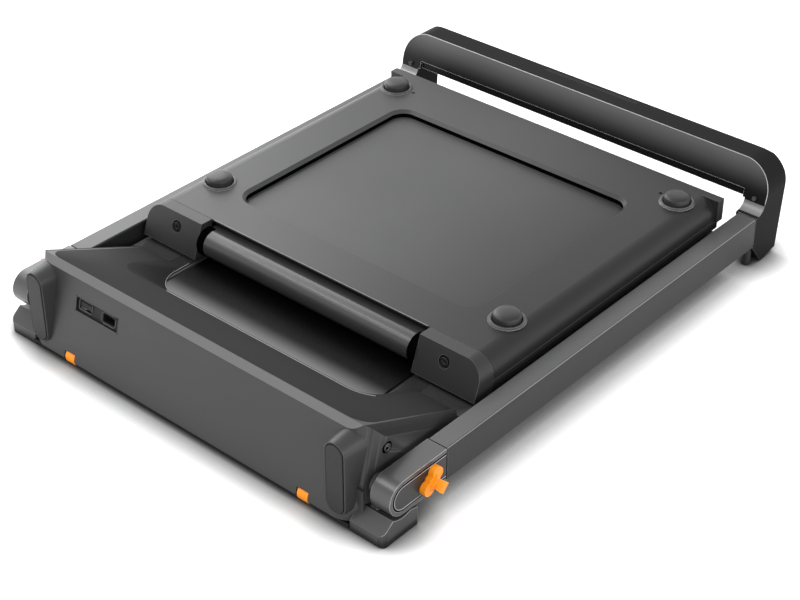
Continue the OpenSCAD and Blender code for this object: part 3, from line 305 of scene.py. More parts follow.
looks = {
    "housingPlastic": dict(base=(0.036, 0.036, 0.037), roughness=0.42, depth=0.12),
    # painted shade: a darker copy of the housing plastic for faces turned away from the light
    "platePaintedShade": dict(base=(0.03, 0.03, 0.0305), roughness=0.6, depth=0.12, rubAndHighlight=0,
                         specular=0.02),
    # painted light: a lighter copy of the housing plastic on the chamfer faces turned to the light
    "stripPaintedLight": dict(base=(0.13, 0.13, 0.132), roughness=0.45, depth=0.06, rubAndHighlight=0),
    # painted highlight: bright lines along the mouth's lip and the bowl's left rim
    "lipPaintedHighlight": dict(base=(0.25, 0.25, 0.25), roughness=0.35, depth=0.0, rubAndHighlight=0),
    "skirtPlastic": dict(base=(0.026, 0.026, 0.0265), roughness=0.6, depth=0.1, rubAndHighlight=0,
                         specular=0.02),
    # painted shade: darker towards +X, the side away from the light
    "trayPaintedShade": dict(base=(0.046, 0.046, 0.047), roughness=0.42, depth=0.12, specular=0.25,
                        fade=((1, 0, 0), -100, 320, (0.016, 0.016, 0.0164))),
    # painted shade: darker towards +X, the side away from the light, as on the tray
    "recessPaintedShade": dict(base=(0.056, 0.056, 0.057), roughness=0.42, depth=0.12, specular=0.25,
                          rubAndHighlight=0, fade=((1, 0, 0), -60, 330, (0.02, 0.02, 0.0204))),
    "bracketPlastic": dict(base=(0.022, 0.022, 0.0225), roughness=0.45, depth=0.12, rubAndHighlight=0.8,
                           edge=(0.2, 0.2, 0.2, 1)),
    "barPlastic": dict(base=(0.016, 0.016, 0.0163), roughness=0.5, depth=0.08, rubAndHighlight=0.5,
                       specular=0.02, edge=(0.12, 0.12, 0.12, 1)),
    # painted light: lighter towards the top, where the light falls, with bright painted highlights
    # along the edges
    "barMetalPaintedLight": dict(base=(0.008, 0.008, 0.0085), roughness=0.42, metallic=0.2, depth=0.05, rubAndHighlight=1.0,
                     specular=0.15, edge=(0.75, 0.75, 0.75, 1),
                     fade=((0, 0, 1), 112, 176, (0.13, 0.13, 0.132))),
    "barLine": dict(base=(0.05, 0.05, 0.05), roughness=0.4, depth=0.0, rubAndHighlight=0, specular=0.1),
    "panelRim": dict(base=(0.02, 0.02, 0.02), roughness=0.4, depth=0.0, rubAndHighlight=0.6,
                     edge=(0.2, 0.2, 0.2, 1)),
    "darkPlastic": dict(base=(0.008, 0.008, 0.0085), roughness=0.5, depth=0.1, specular=0.2),
    # painted shade: a black finish for gaps, pockets and walls where shade falls
    "paintedShadeBlack": dict(base=(0.001, 0.001, 0.001), roughness=0.8, depth=0.0, rubAndHighlight=0, specular=0.0),
    "footRubber": dict(base=(0.02, 0.02, 0.02), roughness=0.4, cell=500, depth=0.25, rubAndHighlight=0.2),
    "ringPlastic": dict(base=(0.05, 0.05, 0.05), roughness=0.35, rubAndHighlight=0.8, edge=(0.5, 0.5, 0.5, 1)),
    "padRubber": dict(base=(0.018, 0.018, 0.0185), roughness=0.5, cell=700, depth=0.2, rubAndHighlight=0.2,
                      specular=0.25),
    # painted light and shade: light near the housing's mouth, black towards and under the roller
    "beltPaintedLightAndShade": dict(base=(0.19, 0.19, 0.19), roughness=0.5, cell=420, depth=0.9, rubAndHighlight=0,
                       specular=0.1, fade=((0, 1, 0), -312, -268, (0.001, 0.001, 0.001))),
    # painted shade: black where the belt runs back under the upper tray's edge
    "loopPaintedShade": dict(base=(0.032, 0.032, 0.0325), roughness=0.32, cell=420, depth=0.25, rubAndHighlight=0,
                       specular=0.5, fade=((0, 1, 0), -190, -176, (0.003, 0.003, 0.003))),
    "boardPaint": dict(base=(0.02, 0.02, 0.02), roughness=0.6, tint=0.5, cell=300, specular=0.2),
    "frameSteel": dict(base=(0.05, 0.05, 0.053), roughness=0.45, rubAndHighlight=0.3),
    "bareSteel": dict(base=(0.5, 0.5, 0.51), roughness=0.28, metallic=1.0, depth=0.05, rubAndHighlight=0.1),
    "blackSteel": dict(base=(0.008, 0.008, 0.008), roughness=0.4, rubAndHighlight=0.6,
                       edge=(0.25, 0.25, 0.25, 1)),
    "motorSteel": dict(base=(0.06, 0.06, 0.065), roughness=0.4),
    "pulleyMetal": dict(base=(0.3, 0.3, 0.31), roughness=0.35, metallic=1.0),
    "circuit": dict(base=(0.02, 0.1, 0.04), roughness=0.4, rubAndHighlight=0),
    "postMetal": dict(base=(0.023, 0.023, 0.0235), roughness=0.4, metallic=0.1, cell=1500,
                      depth=0.06, rubAndHighlight=0.9, specular=0.2, edge=(0.55, 0.55, 0.55, 1)),
    # painted light: a lighter copy of the post metal for the top faces, where the light falls
    "postTopPaintedLight": dict(base=(0.085, 0.085, 0.086), roughness=0.4, cell=1500, depth=0.06, rubAndHighlight=0,
                    specular=0.3),
    # painted highlight: a bright line on the posts' top outer edges and the tray's front edge
    "postEdgePaintedHighlight": dict(base=(0.22, 0.22, 0.222), roughness=0.35, depth=0.0, rubAndHighlight=0),
    "knuckleMetal": dict(base=(0.085, 0.085, 0.086), roughness=0.32, metallic=0.5, cell=1500,
                         depth=0.06, rubAndHighlight=0.9, specular=0.4, edge=(0.7, 0.7, 0.7, 1)),
    # painted highlight: a lighter copy for the handle's leg fillets and front top edge
    "filletPaintedHighlight": dict(base=(0.2, 0.2, 0.202), roughness=0.35, metallic=0.3, depth=0.0, rubAndHighlight=0.4,
                        edge=(0.6, 0.6, 0.6, 1)),
    # painted highlight: bright lines on knuckle and shoe edges, the cap rings and the bar's front
    # edge
    "edgePaintedHighlight": dict(base=(0.45, 0.45, 0.455), roughness=0.35, metallic=0.2, depth=0.0, rubAndHighlight=0),
    # painted light: the orange finish gives off a little light of its own
    "orangePlastic": dict(base=(1.0, 0.3, 0.008), roughness=0.35, tint=0.1, depth=0.05, rubAndHighlight=0.2,
                          edge=(1.0, 0.6, 0.15, 1), glow=0.08),
    "lensPlastic": dict(base=(0.008, 0.008, 0.01), roughness=0.08, depth=0.0, rubAndHighlight=0, coat=0.5),
    "shoePlastic": dict(base=(0.005, 0.005, 0.0052), roughness=0.42, depth=0.08, rubAndHighlight=0.9,
                        edge=(0.5, 0.5, 0.5, 1), fade=((0, 0, 1), 4, 14, (0.055, 0.055, 0.056))),
    "capPlastic": dict(base=(0.018, 0.018, 0.0183), roughness=0.4, depth=0.08, rubAndHighlight=0.6,
                       edge=(0.4, 0.4, 0.4, 1)),
    "rollerPaint": dict(base=(0.03, 0.03, 0.031), roughness=0.3, depth=0.03, rubAndHighlight=0, specular=0.8),
}
finishes = {name: finish(name, **look) for name, look in looks.items()}

worn = {
    "front_tray": "darkPlastic", "front_frame": "frameSteel", "front_board": "boardPaint",
    "front_belt": "beltPaintedLightAndShade", "front_rail_left": "trayPaintedShade", "front_rail_right": "trayPaintedShade",
    "front_feet": "footRubber", "front_roller": "bareSteel", "roller_bearings": "bareSteel",
    "roller_pulley": "pulleyMetal", "drive_belt": "padRubber", "motor_body": "motorSteel",
    "motor_pulley": "pulleyMetal", "motor_mount": "frameSteel", "control_board": "circuit",
    "motor_cover": "housingPlastic", "bumpers": "padRubber", "power_panel": "darkPlastic",
    "power_rocker": "darkPlastic", "power_inlet": "darkPlastic", "wheel_left": "orangePlastic",
    "wheel_right": "orangePlastic", "wheel_axles": "bareSteel", "base_shoes": "shoePlastic",
    "pivot_bolts": "bareSteel", "side_catch": "postMetal", "cover_screws": "bareSteel",
    "lower_hinge_blocks": "frameSteel", "lower_hinge_pins": "bareSteel",
    "hinge_link_left": "blackSteel", "hinge_link_right": "blackSteel", "rear_tray": "trayPaintedShade",
    "rear_frame": "frameSteel", "rear_board": "boardPaint", "rear_belt": "loopPaintedShade",
    "rear_rail_left": "trayPaintedShade", "rear_rail_right": "trayPaintedShade", "rear_feet": "footRubber",
    "foot_rings": "ringPlastic", "end_bracket_left": "bracketPlastic",
    "end_bracket_right": "bracketPlastic", "rear_roller": "rollerPaint", "rear_axle": "bareSteel",
    "tension_bolts": "blackSteel", "upper_hinge_blocks": "frameSteel",
    "upper_hinge_pins": "bareSteel", "post_left": "postMetal", "post_right": "postMetal",
    "knuckle_left": "knuckleMetal", "knuckle_right": "knuckleMetal", "knuckle_caps": "capPlastic",
    "post_plugs": "darkPlastic", "handle_shell": "barPlastic", "console_panel": "darkPlastic",
    "display_lens": "lensPlastic", "speed_dial": "orangePlastic", "bar_feet": "footRubber",
    "leg_screws": "blackSteel", "knob_left": "orangePlastic", "knob_right": "orangePlastic",
}
for name, obj in nodes.items():
    obj.data.materials.clear()
    obj.data.materials.append(finishes[worn[name]])
print("finishes on", len(nodes), "nodes")


# what every piece goes through
def addPiece(name, mesh, body, material, smooth=35):
    obj = newObject(name, mesh)
    mesh.materials.clear()
    mesh.materials.append(finishes[material])
    if smooth:
        mesh.shade_smooth()
        mesh.set_sharp_from_angle(angle=math.radians(smooth))
    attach(obj, body)
    return obj


def closeSeams(mesh):
    bm = bmesh.new()
    bm.from_mesh(mesh)
    bmesh.ops.remove_doubles(bm, verts=bm.verts, dist=1e-6)
    bmesh.ops.recalc_face_normals(bm, faces=bm.faces)
    bm.to_mesh(mesh)
    bm.free()


def rawMesh(name, points, lines, faces):
    mesh = bpy.data.meshes.new(name)
    mesh.from_pydata([tuple(c * mm for c in p) for p in points], lines, faces)
    return mesh


def bodyOf(node):
    return nodes[node]["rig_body"]


# a new piece that rides with the same body as a CAD node
def besideNode(name, part, node, material):
    points, faces = part
    mesh = rawMesh(name, points, [], faces)
    closeSeams(mesh)
    return addPiece(name, mesh, bodyOf(node), material)


# puts the result of an object's modifier into its own mesh
def applied(obj):
    bpy.context.view_layer.update()
    seen = obj.evaluated_get(bpy.context.evaluated_depsgraph_get())
    done = bpy.data.meshes.new_from_object(seen)
    obj.modifiers.clear()
    obj.data = done
    return done


# a copy of a CAD node whose hard edges are rounded, width in mm and angles in degrees
rounding = {"merge": 2e-6, "flat": 0.6, "segments": 3, "angle": 30, "sharp": 40, "evenWeight": 90}


def roundedCopy(node, width):
    bm = bmesh.new()
    bm.from_mesh(nodes[node].data)
    bmesh.ops.remove_doubles(bm, verts=bm.verts, dist=rounding["merge"])
    bmesh.ops.dissolve_limit(bm, angle_limit=math.radians(rounding["flat"]), verts=bm.verts,
                             edges=bm.edges, delimit={"NORMAL"})
    mesh = bpy.data.meshes.new(node)
    bm.to_mesh(mesh)
    bm.free()
    obj = addPiece(node + "_rounded", mesh, bodyOf(node), worn[node], smooth=0)
    bevel = obj.modifiers.new("edges", "BEVEL")
    bevel.width = width * mm
    bevel.segments = rounding["segments"]
    bevel.limit_method = "ANGLE"
    bevel.angle_limit = math.radians(rounding["angle"])
    bevel.use_clamp_overlap = True
    bevel.harden_normals = False
    done = applied(obj)
    done.shade_smooth()
    done.set_sharp_from_angle(angle=math.radians(rounding["sharp"]))
    even = obj.modifiers.new("normals", "WEIGHTED_NORMAL")
    even.weight = rounding["evenWeight"]
    even.keep_sharp = True
    applied(obj)
    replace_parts(obj, node)


edgeRounds = {
    "post_left": 1.6, "post_right": 1.6, "knuckle_left": 1.6, "knuckle_right": 1.6,
    "knuckle_caps": 0.7, "base_shoes": 1.2, "end_bracket_left": 1.6, "end_bracket_right": 1.6,
    "rear_tray": 1.2, "rear_rail_left": 0.8, "rear_rail_right": 0.8, "front_rail_left": 0.8,
    "front_rail_right": 0.8, "bumpers": 1.2, "power_panel": 0.5, "power_rocker": 0.4,
    "power_inlet": 0.4, "wheel_left": 1.5, "wheel_right": 1.5, "leg_screws": 0.5,
    "tension_bolts": 0.5, "speed_dial": 0.5, "bar_feet": 0.8, "side_catch": 0.3,
    "knob_left": 1.0, "knob_right": 1.0, "handle_shell": 1.4, "motor_cover": 0.8,
    "console_panel": 0.4, "front_tray": 1.0,
}
for node, width in edgeRounds.items():
    roundedCopy(node, width)
print("rounded edges on", len(edgeRounds), "nodes")


# loops of points sewn into a ring that closes on its first loop
def ringPatch(loops, closed=True):
    count, rows = len(loops[0]), len(loops)
    points = [p for loop in loops for p in loop]
    faces = []
    for k in range(rows):
        a, b = k * count, ((k + 1) % rows) * count
        for i in range(count if closed else count - 1):
            j = (i + 1) % count
            faces.append((a + i, a + j, b + j, b + i))
    if not closed:
        faces.append(tuple(k * count for k in range(rows)))
        faces.append(tuple(k * count + count - 1 for k in range(rows - 1, -1, -1)))
    return points, faces


def joined(parts):
    points, faces = [], []
    for morePoints, moreFaces in parts:
        faces += [tuple(k + len(points) for k in f) for f in moreFaces]
        points += morePoints
    return points, faces


def mirrored(part):
    points, faces = part
    return [(-x, y, z) for x, y, z in points], [f[::-1] for f in faces]


# a profile of (radius, distance along the axis) turned about an axis through a place
def lathe(profile, place, axis="Z", steps=40):
    points, count = [], len(profile)
    for k in range(steps):
        a = 2 * math.pi * k / steps
        for radius, along in profile:
            u, v = radius * math.cos(a), radius * math.sin(a)
            shift = {"X": (along, u, v), "Z": (u, v, along)}[axis]
            points.append(tuple(c + d for c, d in zip(place, shift)))
    faces = []
    for k in range(steps):
        a, b = k * count, ((k + 1) % steps) * count
        faces += [(a + i, b + i, b + i + 1, a + i + 1) for i in range(count - 1)]
    return points, faces


def arcPoints(cx, cy, radius, start, end, steps):
    angles = [math.radians(start + (end - start) * k / steps) for k in range(steps + 1)]
    return [(cx + radius * math.cos(a), cy + radius * math.sin(a)) for a in angles]


def roundRect(x0, x1, y0, y1, radius, steps=6):
    corners = ((x1 - radius, y0 + radius, -90), (x1 - radius, y1 - radius, 0),
               (x0 + radius, y1 - radius, 90), (x0 + radius, y0 + radius, 180))
    return [p for cx, cy, a in corners for p in arcPoints(cx, cy, radius, a, a + 90, steps)]


# geometry node trees
def newTree(name, ins):
    tree = bpy.data.node_groups.new(name, "GeometryNodeTree")
    tree.interface.new_socket(name="Path", in_out="INPUT", socket_type="NodeSocketGeometry")
    for label, kind, value in ins:
        socket = tree.interface.new_socket(name=label, in_out="INPUT", socket_type=kind)
        if value is not None:
            socket.default_value = value
    tree.interface.new_socket(name="Geometry", in_out="OUTPUT", socket_type="NodeSocketGeometry")
    treeIn = tree.nodes.new("NodeGroupInput")
    treeOut = tree.nodes.new("NodeGroupOutput")
    return tree, treeIn.outputs, treeOut.inputs


def closeTree(tree, shape, material, out):
    real = tree.nodes.new("GeometryNodeRealizeInstances")
    paint = tree.nodes.new("GeometryNodeSetMaterial")
    tree.links.new(shape, real.inputs[0])
    tree.links.new(real.outputs[0], paint.inputs["Geometry"])
    tree.links.new(material, paint.inputs["Material"])
    tree.links.new(paint.outputs[0], out[0])


def runTree(name, points, lines, tree, values, node):
    obj = newObject(name, rawMesh(name, points, lines, []))
    mod = obj.modifiers.new("shape", "NODES")
    mod.node_group = tree
    sockets = {i.name: i.identifier for i in tree.interface.items_tree if i.in_out == "INPUT"}
    for label, value in values.items():
        mod[sockets[label]] = finishes[value] if label == "Material" else value
    done = applied(obj)
    closeSeams(done)
    done.shade_smooth()
    done.set_sharp_from_angle(angle=math.radians(50))
    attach(obj, bodyOf(node))


# a thin round trim that follows a path
trim, tIn, tOut = newTree("trimSweep", [("Radius", "NodeSocketFloat", 0.001),
                                        ("Sides", "NodeSocketInt", 8),
                                        ("Material", "NodeSocketMaterial", None)])
toCurve = trim.nodes.new("GeometryNodeMeshToCurve")
circle = trim.nodes.new("GeometryNodeCurvePrimitiveCircle")
sweep = trim.nodes.new("GeometryNodeCurveToMesh")
sweep.inputs["Fill Caps"].default_value = True
trim.links.new(tIn["Path"], toCurve.inputs["Mesh"])
trim.links.new(tIn["Radius"], circle.inputs["Radius"])
trim.links.new(tIn["Sides"], circle.inputs["Resolution"])
trim.links.new(toCurve.outputs[0], sweep.inputs["Curve"])
trim.links.new(circle.outputs[0], sweep.inputs["Profile Curve"])
closeTree(trim, sweep.outputs[0], tIn["Material"], tOut)


def trimLine(name, points, wire, material, node, sides=8):
    runTree(name, points, [(k, k + 1) for k in range(len(points) - 1)], trim,
            {"Radius": wire * mm, "Sides": sides, "Material": material}, node)


# a screw head with a rolled rim and a six-sided socket at each point, turned as one
screws, wIn, wOut = newTree("screwHeads", [("Radius", "NodeSocketFloat", 0.004),
                                           ("Depth", "NodeSocketFloat", 0.001),
                                           ("Turn", "NodeSocketRotation", None),
                                           ("Material", "NodeSocketMaterial", None)])
disc = screws.nodes.new("GeometryNodeMeshCylinder")
disc.inputs["Vertices"].default_value = 24
hexRim, headRim, wire = (screws.nodes.new("GeometryNodeCurvePrimitiveCircle") for k in range(3))
for ring, sides in ((hexRim, 6), (headRim, 24), (wire, 8)):
    ring.inputs["Resolution"].default_value = sides
both = screws.nodes.new("GeometryNodeJoinGeometry")
screws.links.new(wIn["Radius"], disc.inputs["Radius"])
screws.links.new(wIn["Depth"], disc.inputs["Depth"])
screws.links.new(disc.outputs["Mesh"], both.inputs[0])
screws.links.new(mathNode(screws, "MULTIPLY", wIn["Depth"], 0.45), wire.inputs["Radius"])
for rim, share in ((hexRim, 0.5), (headRim, 0.92)):
    tube = screws.nodes.new("GeometryNodeCurveToMesh")
    lift = screws.nodes.new("GeometryNodeTransform")
    place = screws.nodes.new("ShaderNodeCombineXYZ")
    screws.links.new(mathNode(screws, "MULTIPLY", wIn["Radius"], share), rim.inputs["Radius"])
    screws.links.new(rim.outputs[0], tube.inputs["Curve"])
    screws.links.new(wire.outputs[0], tube.inputs["Profile Curve"])
    screws.links.new(mathNode(screws, "MULTIPLY", wIn["Depth"], 0.5), place.inputs["Z"])
    screws.links.new(tube.outputs[0], lift.inputs["Geometry"])
    screws.links.new(place.outputs[0], lift.inputs["Translation"])
    screws.links.new(lift.outputs[0], both.inputs[0])
spread = screws.nodes.new("GeometryNodeInstanceOnPoints")
screws.links.new(wIn["Path"], spread.inputs["Points"])
screws.links.new(both.outputs[0], spread.inputs["Instance"])
screws.links.new(wIn["Turn"], spread.inputs["Rotation"])
closeTree(screws, spread.outputs[0], wIn["Material"], wOut)

# upright ribs round a circle about Z, with the circle's middle at each point of the path
ribs, rIn, rOut = newTree("gripRibs", [("Count", "NodeSocketInt", 24),
                                       ("Radius", "NodeSocketFloat", 0.013),
                                       ("Height", "NodeSocketFloat", 0.006),
                                       ("Width", "NodeSocketFloat", 0.0012),
                                       ("Material", "NodeSocketMaterial", None)])
turnRing = ribs.nodes.new("GeometryNodeMeshCircle")
rod = ribs.nodes.new("GeometryNodeMeshCylinder")
rod.inputs["Vertices"].default_value = 8
ribRow = ribs.nodes.new("GeometryNodeInstanceOnPoints")
ribPlace = ribs.nodes.new("GeometryNodeInstanceOnPoints")
ribs.links.new(rIn["Count"], turnRing.inputs["Vertices"])
ribs.links.new(rIn["Radius"], turnRing.inputs["Radius"])
ribs.links.new(rIn["Width"], rod.inputs["Radius"])
ribs.links.new(rIn["Height"], rod.inputs["Depth"])
ribs.links.new(turnRing.outputs[0], ribRow.inputs["Points"])
ribs.links.new(rod.outputs["Mesh"], ribRow.inputs["Instance"])
ribs.links.new(rIn["Path"], ribPlace.inputs["Points"])
ribs.links.new(ribRow.outputs[0], ribPlace.inputs["Instance"])
closeTree(ribs, ribPlace.outputs[0], rIn["Material"], rOut)
print("node trees ready")


# housing top: inset plate in painted shade, bowl round the belt and a painted highlight along the
# lip, in mm
top = {"crestY": -424.55, "crestZ": 145.7, "slope": 0.445, "tongueZ": 67.9, "endY": -228.5,
       "mouthX": 240, "mouthY": -350, "mouthR": 38, "bowlX": 215, "bowlY": -306, "bowlR": 42,
       "bowlZ": 66.9, "bowlRows": 6, "bowlCurve": 1.15, "plateX": 297, "plateY": -423.2,
       "plateR": 26, "plateEnd": -252, "rise": 0.5, "sunk": -0.4, "chamfer": 0.7, "lipR": 0.8,
       "lipEnd": -246, "lipFromX": -146, "lipToY": -330,
       "rimR": 0.6, "rimEnd": -236, "rimToX": -176}


def plateAt(y):
    return max(top["crestZ"] - top["slope"] * (y - top["crestY"]), top["tongueZ"])


def mouthLine(x, y, radius, endY, steps=10):
    half = [(-x, endY + (y + radius - endY) * k / steps) for k in range(steps)]
    half += arcPoints(radius - x, y + radius, radius, 180, 270, 12)
    half += [(radius - x + (x - radius) * k / 6, y) for k in range(1, 6)]
    return half + [(0, y)] + [(-a, b) for a, b in half[::-1]]


def onPlate(line, rise):
    return [(x, y, plateAt(y) + rise) for x, y in line]


def makePlate():
    m = top
    x, y, radius, cut = m["plateX"], m["plateY"], m["plateR"], m["chamfer"]
    outer = mouthLine(x, y, radius, m["plateEnd"])
    edge = mouthLine(x - cut, y + cut, radius - cut, m["plateEnd"])
    inner = mouthLine(m["mouthX"] + 0.6, m["mouthY"] - 0.6, m["mouthR"] + 0.6, m["plateEnd"])
    loops = [onPlate(outer, m["sunk"]), onPlate(outer, 0.1), onPlate(edge, m["rise"]),
             onPlate(inner, m["rise"]), onPlate(inner, m["sunk"])]
    besideNode("top_plate", ringPatch(loops, closed=False), "motor_cover", "platePaintedShade")


def makeBowl():
    m = top
    high = mouthLine(m["mouthX"] + 0.4, m["mouthY"] - 0.4, m["mouthR"], m["endY"])
    low = mouthLine(m["bowlX"], m["bowlY"], m["bowlR"], m["endY"])
    rows = []
    for k in range(m["bowlRows"] + 1):
        t = k / m["bowlRows"]
        fall = t ** m["bowlCurve"]
        rows.append([(a[0] + (b[0] - a[0]) * t, a[1] + (b[1] - a[1]) * t,
                      plateAt(a[1]) + 0.3 + (m["bowlZ"] + 0.4 - plateAt(a[1]) - 0.3) * fall)
                     for a, b in zip(high, low)])
    back = [(x * 1.004, y - 0.6, z - 0.9) for x, y, z in rows[0]]
    under = [(x, y, m["bowlZ"] - 0.35) for x, y, z in rows[-1]]
    besideNode("mouth_bowl", ringPatch(rows + [under, back], closed=False), "motor_cover",
               "skirtPlastic")


# painted highlight lines on the mouth's lip and the bowl's left rim
def makeLines():
    m = top
    lip = mouthLine(m["mouthX"] + 0.3, m["mouthY"] - 0.3, m["mouthR"], m["lipEnd"])
    lip = [q for q in lip if q[1] < m["lipToY"] and q[0] > m["lipFromX"]]
    trimLine("mouth_lip", onPlate(lip, 0.35), m["lipR"], "lipPaintedHighlight", "motor_cover")
    rim = mouthLine(m["bowlX"] + 0.4, m["bowlY"] - 0.4, m["bowlR"], m["rimEnd"])
    rim = [(x, y, m["bowlZ"] + 0.7) for x, y in rim if x < m["rimToX"]]
    trimLine("bowl_rim_left", rim, m["rimR"], "lipPaintedHighlight", "motor_cover")


makePlate()
makeBowl()
makeLines()
print("housing top ready")


# raised frames round the two end pads: each ring is (how much wider, how deep) in mm
boss = {"x": 284, "low": 36, "high": 115, "padR": 14, "frontY": -463,
        "rings": ((0.9, 3.8), (0.9, 1.5), (1.9, 0.5), (3.1, 1.3), (4.6, 10), (8.5, 39), (5.5, 41))}


def stadium(x, low, high, radius, steps=12):
    return arcPoints(x, low, radius, 180, 360, steps) + arcPoints(x, high, radius, 0, 180, steps)


def makeBosses():
    loops = []
    for extra, depth in boss["rings"]:
        line = stadium(boss["x"], boss["low"], boss["high"], boss["padR"] + extra)
        loops.append([(x, boss["frontY"] + depth, z) for x, z in line])
    part = ringPatch(loops)
    besideNode("pad_bosses", joined([part, mirrored(part)]), "motor_cover", "housingPlastic")


makeBosses()


# power panel: rounded rims on the leaning face
panel = {"x": -222, "z": 89, "y": -444.29, "lean": math.atan(0.23), "edge": 1.3, "round": 0.3,
         "rims": (("panel_rim", (0, 88, 0, 25), -0.2, 4, -0.3, 3.0, "housingPlastic"),
                  ("rocker_rim", (7, 31, 7, 20), 1.8, 1.5, 1.9, 3.1, "panelRim"),
                  ("inlet_rim", (53, 79, 5, 20), 1.6, 5, 2.1, 3.1, "panelRim"))}


def onFace(u, v, depth):
    c, d = math.cos(panel["lean"]), math.sin(panel["lean"])
    return panel["x"] + u, panel["y"] + depth * c + v * d, panel["z"] - depth * d + v * c


def faceRim(name, box, grow, radius, front, back, material):
    u0, u1, v0, v1 = box
    r, inner = panel["round"], grow - panel["edge"]
    rows = []
    for out, depth in ((grow, back), (grow, front + r), (grow - r, front), (inner + r, front),
                       (inner, front + r), (inner, back)):
        line = roundRect(u0 - out, u1 + out, v0 - out, v1 + out, radius + out)
        rows.append([onFace(u, v, depth) for u, v in line])
    besideNode(name, ringPatch(rows), "power_panel", material)


for rim in panel["rims"]:
    faceRim(*rim)
print("bosses and power panel ready")


# feet of the upper deck: profiles of (radius, height over the tray) in mm
foot = {"z": 126.5, "x": 275, "ys": (-111, 293), "steps": 44,
        "dome": ((20, -0.4), (20, 8.2), (19.7, 9.8), (18.6, 11.3), (16, 12.6), (11.5, 13.5),
                 (5, 13.95), (0, 14), (0, -0.4), (20, -0.4)),
        "collar": ((21.3, -0.3), (21.3, 2.0), (21.9, 2.7), (23.2, 3.0), (24.6, 2.7), (26.8, 0.3),
                   (26.8, -0.3), (21.3, -0.3)),
        "gap": ((19.6, -0.3), (19.6, 0.25), (21.5, 0.25), (21.5, -0.3), (19.6, -0.3))}


def onFeet(profile):
    places = [(x, y, foot["z"]) for x in (-foot["x"], foot["x"]) for y in foot["ys"]]
    return joined([lathe(profile, q, steps=foot["steps"]) for q in places])


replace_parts(besideNode("foot_domes", onFeet(foot["dome"]), "rear_feet", "footRubber"), "rear_feet")
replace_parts(besideNode("foot_collars", onFeet(foot["collar"]), "foot_rings", "ringPlastic"),
            "foot_rings")
# painted shade: a black ring in the gap round each foot
besideNode("foot_shade_rings", onFeet(foot["gap"]), "foot_rings", "paintedShadeBlack")

# painted shade: black cups round the roller's ends where shade falls, each turned about the roller's
# middle line
cup = {"z": 74.5 + 21.0, "r": 21.0, "x0": 195, "x1": 207.6, "steps": 48}
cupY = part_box("rear_belt")[0].y / mm + 21.1  # the roller's middle, from the belt's near edge
cupProfile = ((cup["r"] + 0.05, cup["x0"]), (cup["r"] + 0.7, cup["x0"] + 1.2),
              (cup["r"] + 1.2, cup["x1"]), (cup["r"] - 1, cup["x1"]), (cup["r"] + 0.05, cup["x0"]))
rightCup = lathe(cupProfile, (0, cupY, cup["z"]), "X", cup["steps"])
besideNode("roller_shade_cups", joined([rightCup, mirrored(rightCup)]), "rear_belt", "paintedShadeBlack")
print("feet and roller ends ready")


# a black line of painted shade in the groove and a bright line of painted highlight round each
# knuckle cap: rings are (radius, wire, finish)
capLine = {"y": -420, "z": 62, "x": 359.9, "endY": -338.6,
           "rings": ((18.9, 0.9, "paintedShadeBlack"), (17.2, 0.6, "edgePaintedHighlight"))}
for side, node in ((-1, "knuckle_left"), (1, "knuckle_right")):
    for radius, wireR, material in capLine["rings"]:
        around = [(capLine["endY"], capLine["z"] + radius)]
        around += arcPoints(capLine["y"], capLine["z"], radius, 90, 270, 24)
        around += [(capLine["endY"], capLine["z"] - radius)]
        trimLine(f"{node}_{material}_line", [(side * capLine["x"], y, z) for y, z in around],
                 wireR, material, node)


# faces of some rounded copies get a second finish, several of them painted light, painted highlights
# and painted shade
def repaint(name, material, rule):
    obj = bpy.data.objects[name]
    mesh = obj.data
    mesh.materials.append(finishes[material])
    slot = len(mesh.materials) - 1
    count = 0
    for face in mesh.polygons:
        if rule(face.center / mm, face.normal):
            face.material_index = slot
            count += 1
    print(name, material, count, "faces")


zones = {"stripZ": 128, "hoodY": -395, "sideX": 296, "shoeZ": 9, "catchX": 313.5,
         "recessX": 227, "recessY": (-126, 276), "recessZ": 122.5}


def inRecess(c):
    near, far = zones["recessY"]
    return abs(c.x) < zones["recessX"] and near < c.y < far and c.z < zones["recessZ"]


def onStrip(c, n):
    return c.z > zones["stripZ"] and c.y < zones["hoodY"] and 0.3 < n.z < 0.9


def onShoeEdge(c, n):
    return c.z > zones["shoeZ"] and 0.3 < abs(n.x) < 0.95 and n.z > 0.2


def onHoodSide(c, n):
    return abs(c.x) > zones["sideX"] and c.z > 68 and c.y > zones["hoodY"] and 0.2 < n.z < 0.98


# painted light on the chamfer strip
repaint("motor_cover_rounded", "stripPaintedLight", onStrip)
# the handle's front faces take the metal finish with its painted light
repaint("handle_shell_rounded", "barMetalPaintedLight", lambda c, n: n.y < -0.3)
# painted highlight on the leg fillets and the front top edge
repaint("handle_shell_rounded", "filletPaintedHighlight", lambda c, n: n.y < -0.25 and n.z > 0.25)
repaint("base_shoes_rounded", "darkPlastic", lambda c, n: c.z < zones["shoeZ"])
# painted highlight on the shoes' top edges
repaint("base_shoes_rounded", "edgePaintedHighlight", onShoeEdge)
# painted highlight on the knuckles' rounded edges
repaint("knuckle_right_rounded", "edgePaintedHighlight", lambda c, n: 0.35 < abs(n.x) < 0.9)
repaint("knuckle_left_rounded", "edgePaintedHighlight", lambda c, n: 0.35 < abs(n.x) < 0.9)
for side, post in ((-1, "post_left_rounded"), (1, "post_right_rounded")):
    # painted light on the post tops and a painted highlight on their outer top edges
    repaint(post, "postTopPaintedLight", lambda c, n: n.z > 0.93)
    repaint(post, "postEdgePaintedHighlight", lambda c, n: side * n.x > 0.55 and n.z > 0.55)
# painted shade in the catch's pocket
repaint("side_catch_rounded", "paintedShadeBlack", lambda c, n: c.x < zones["catchX"])
# painted shade on the recess walls
repaint("rear_tray_rounded", "paintedShadeBlack", lambda c, n: abs(n.z) < 0.3 and inRecess(c))
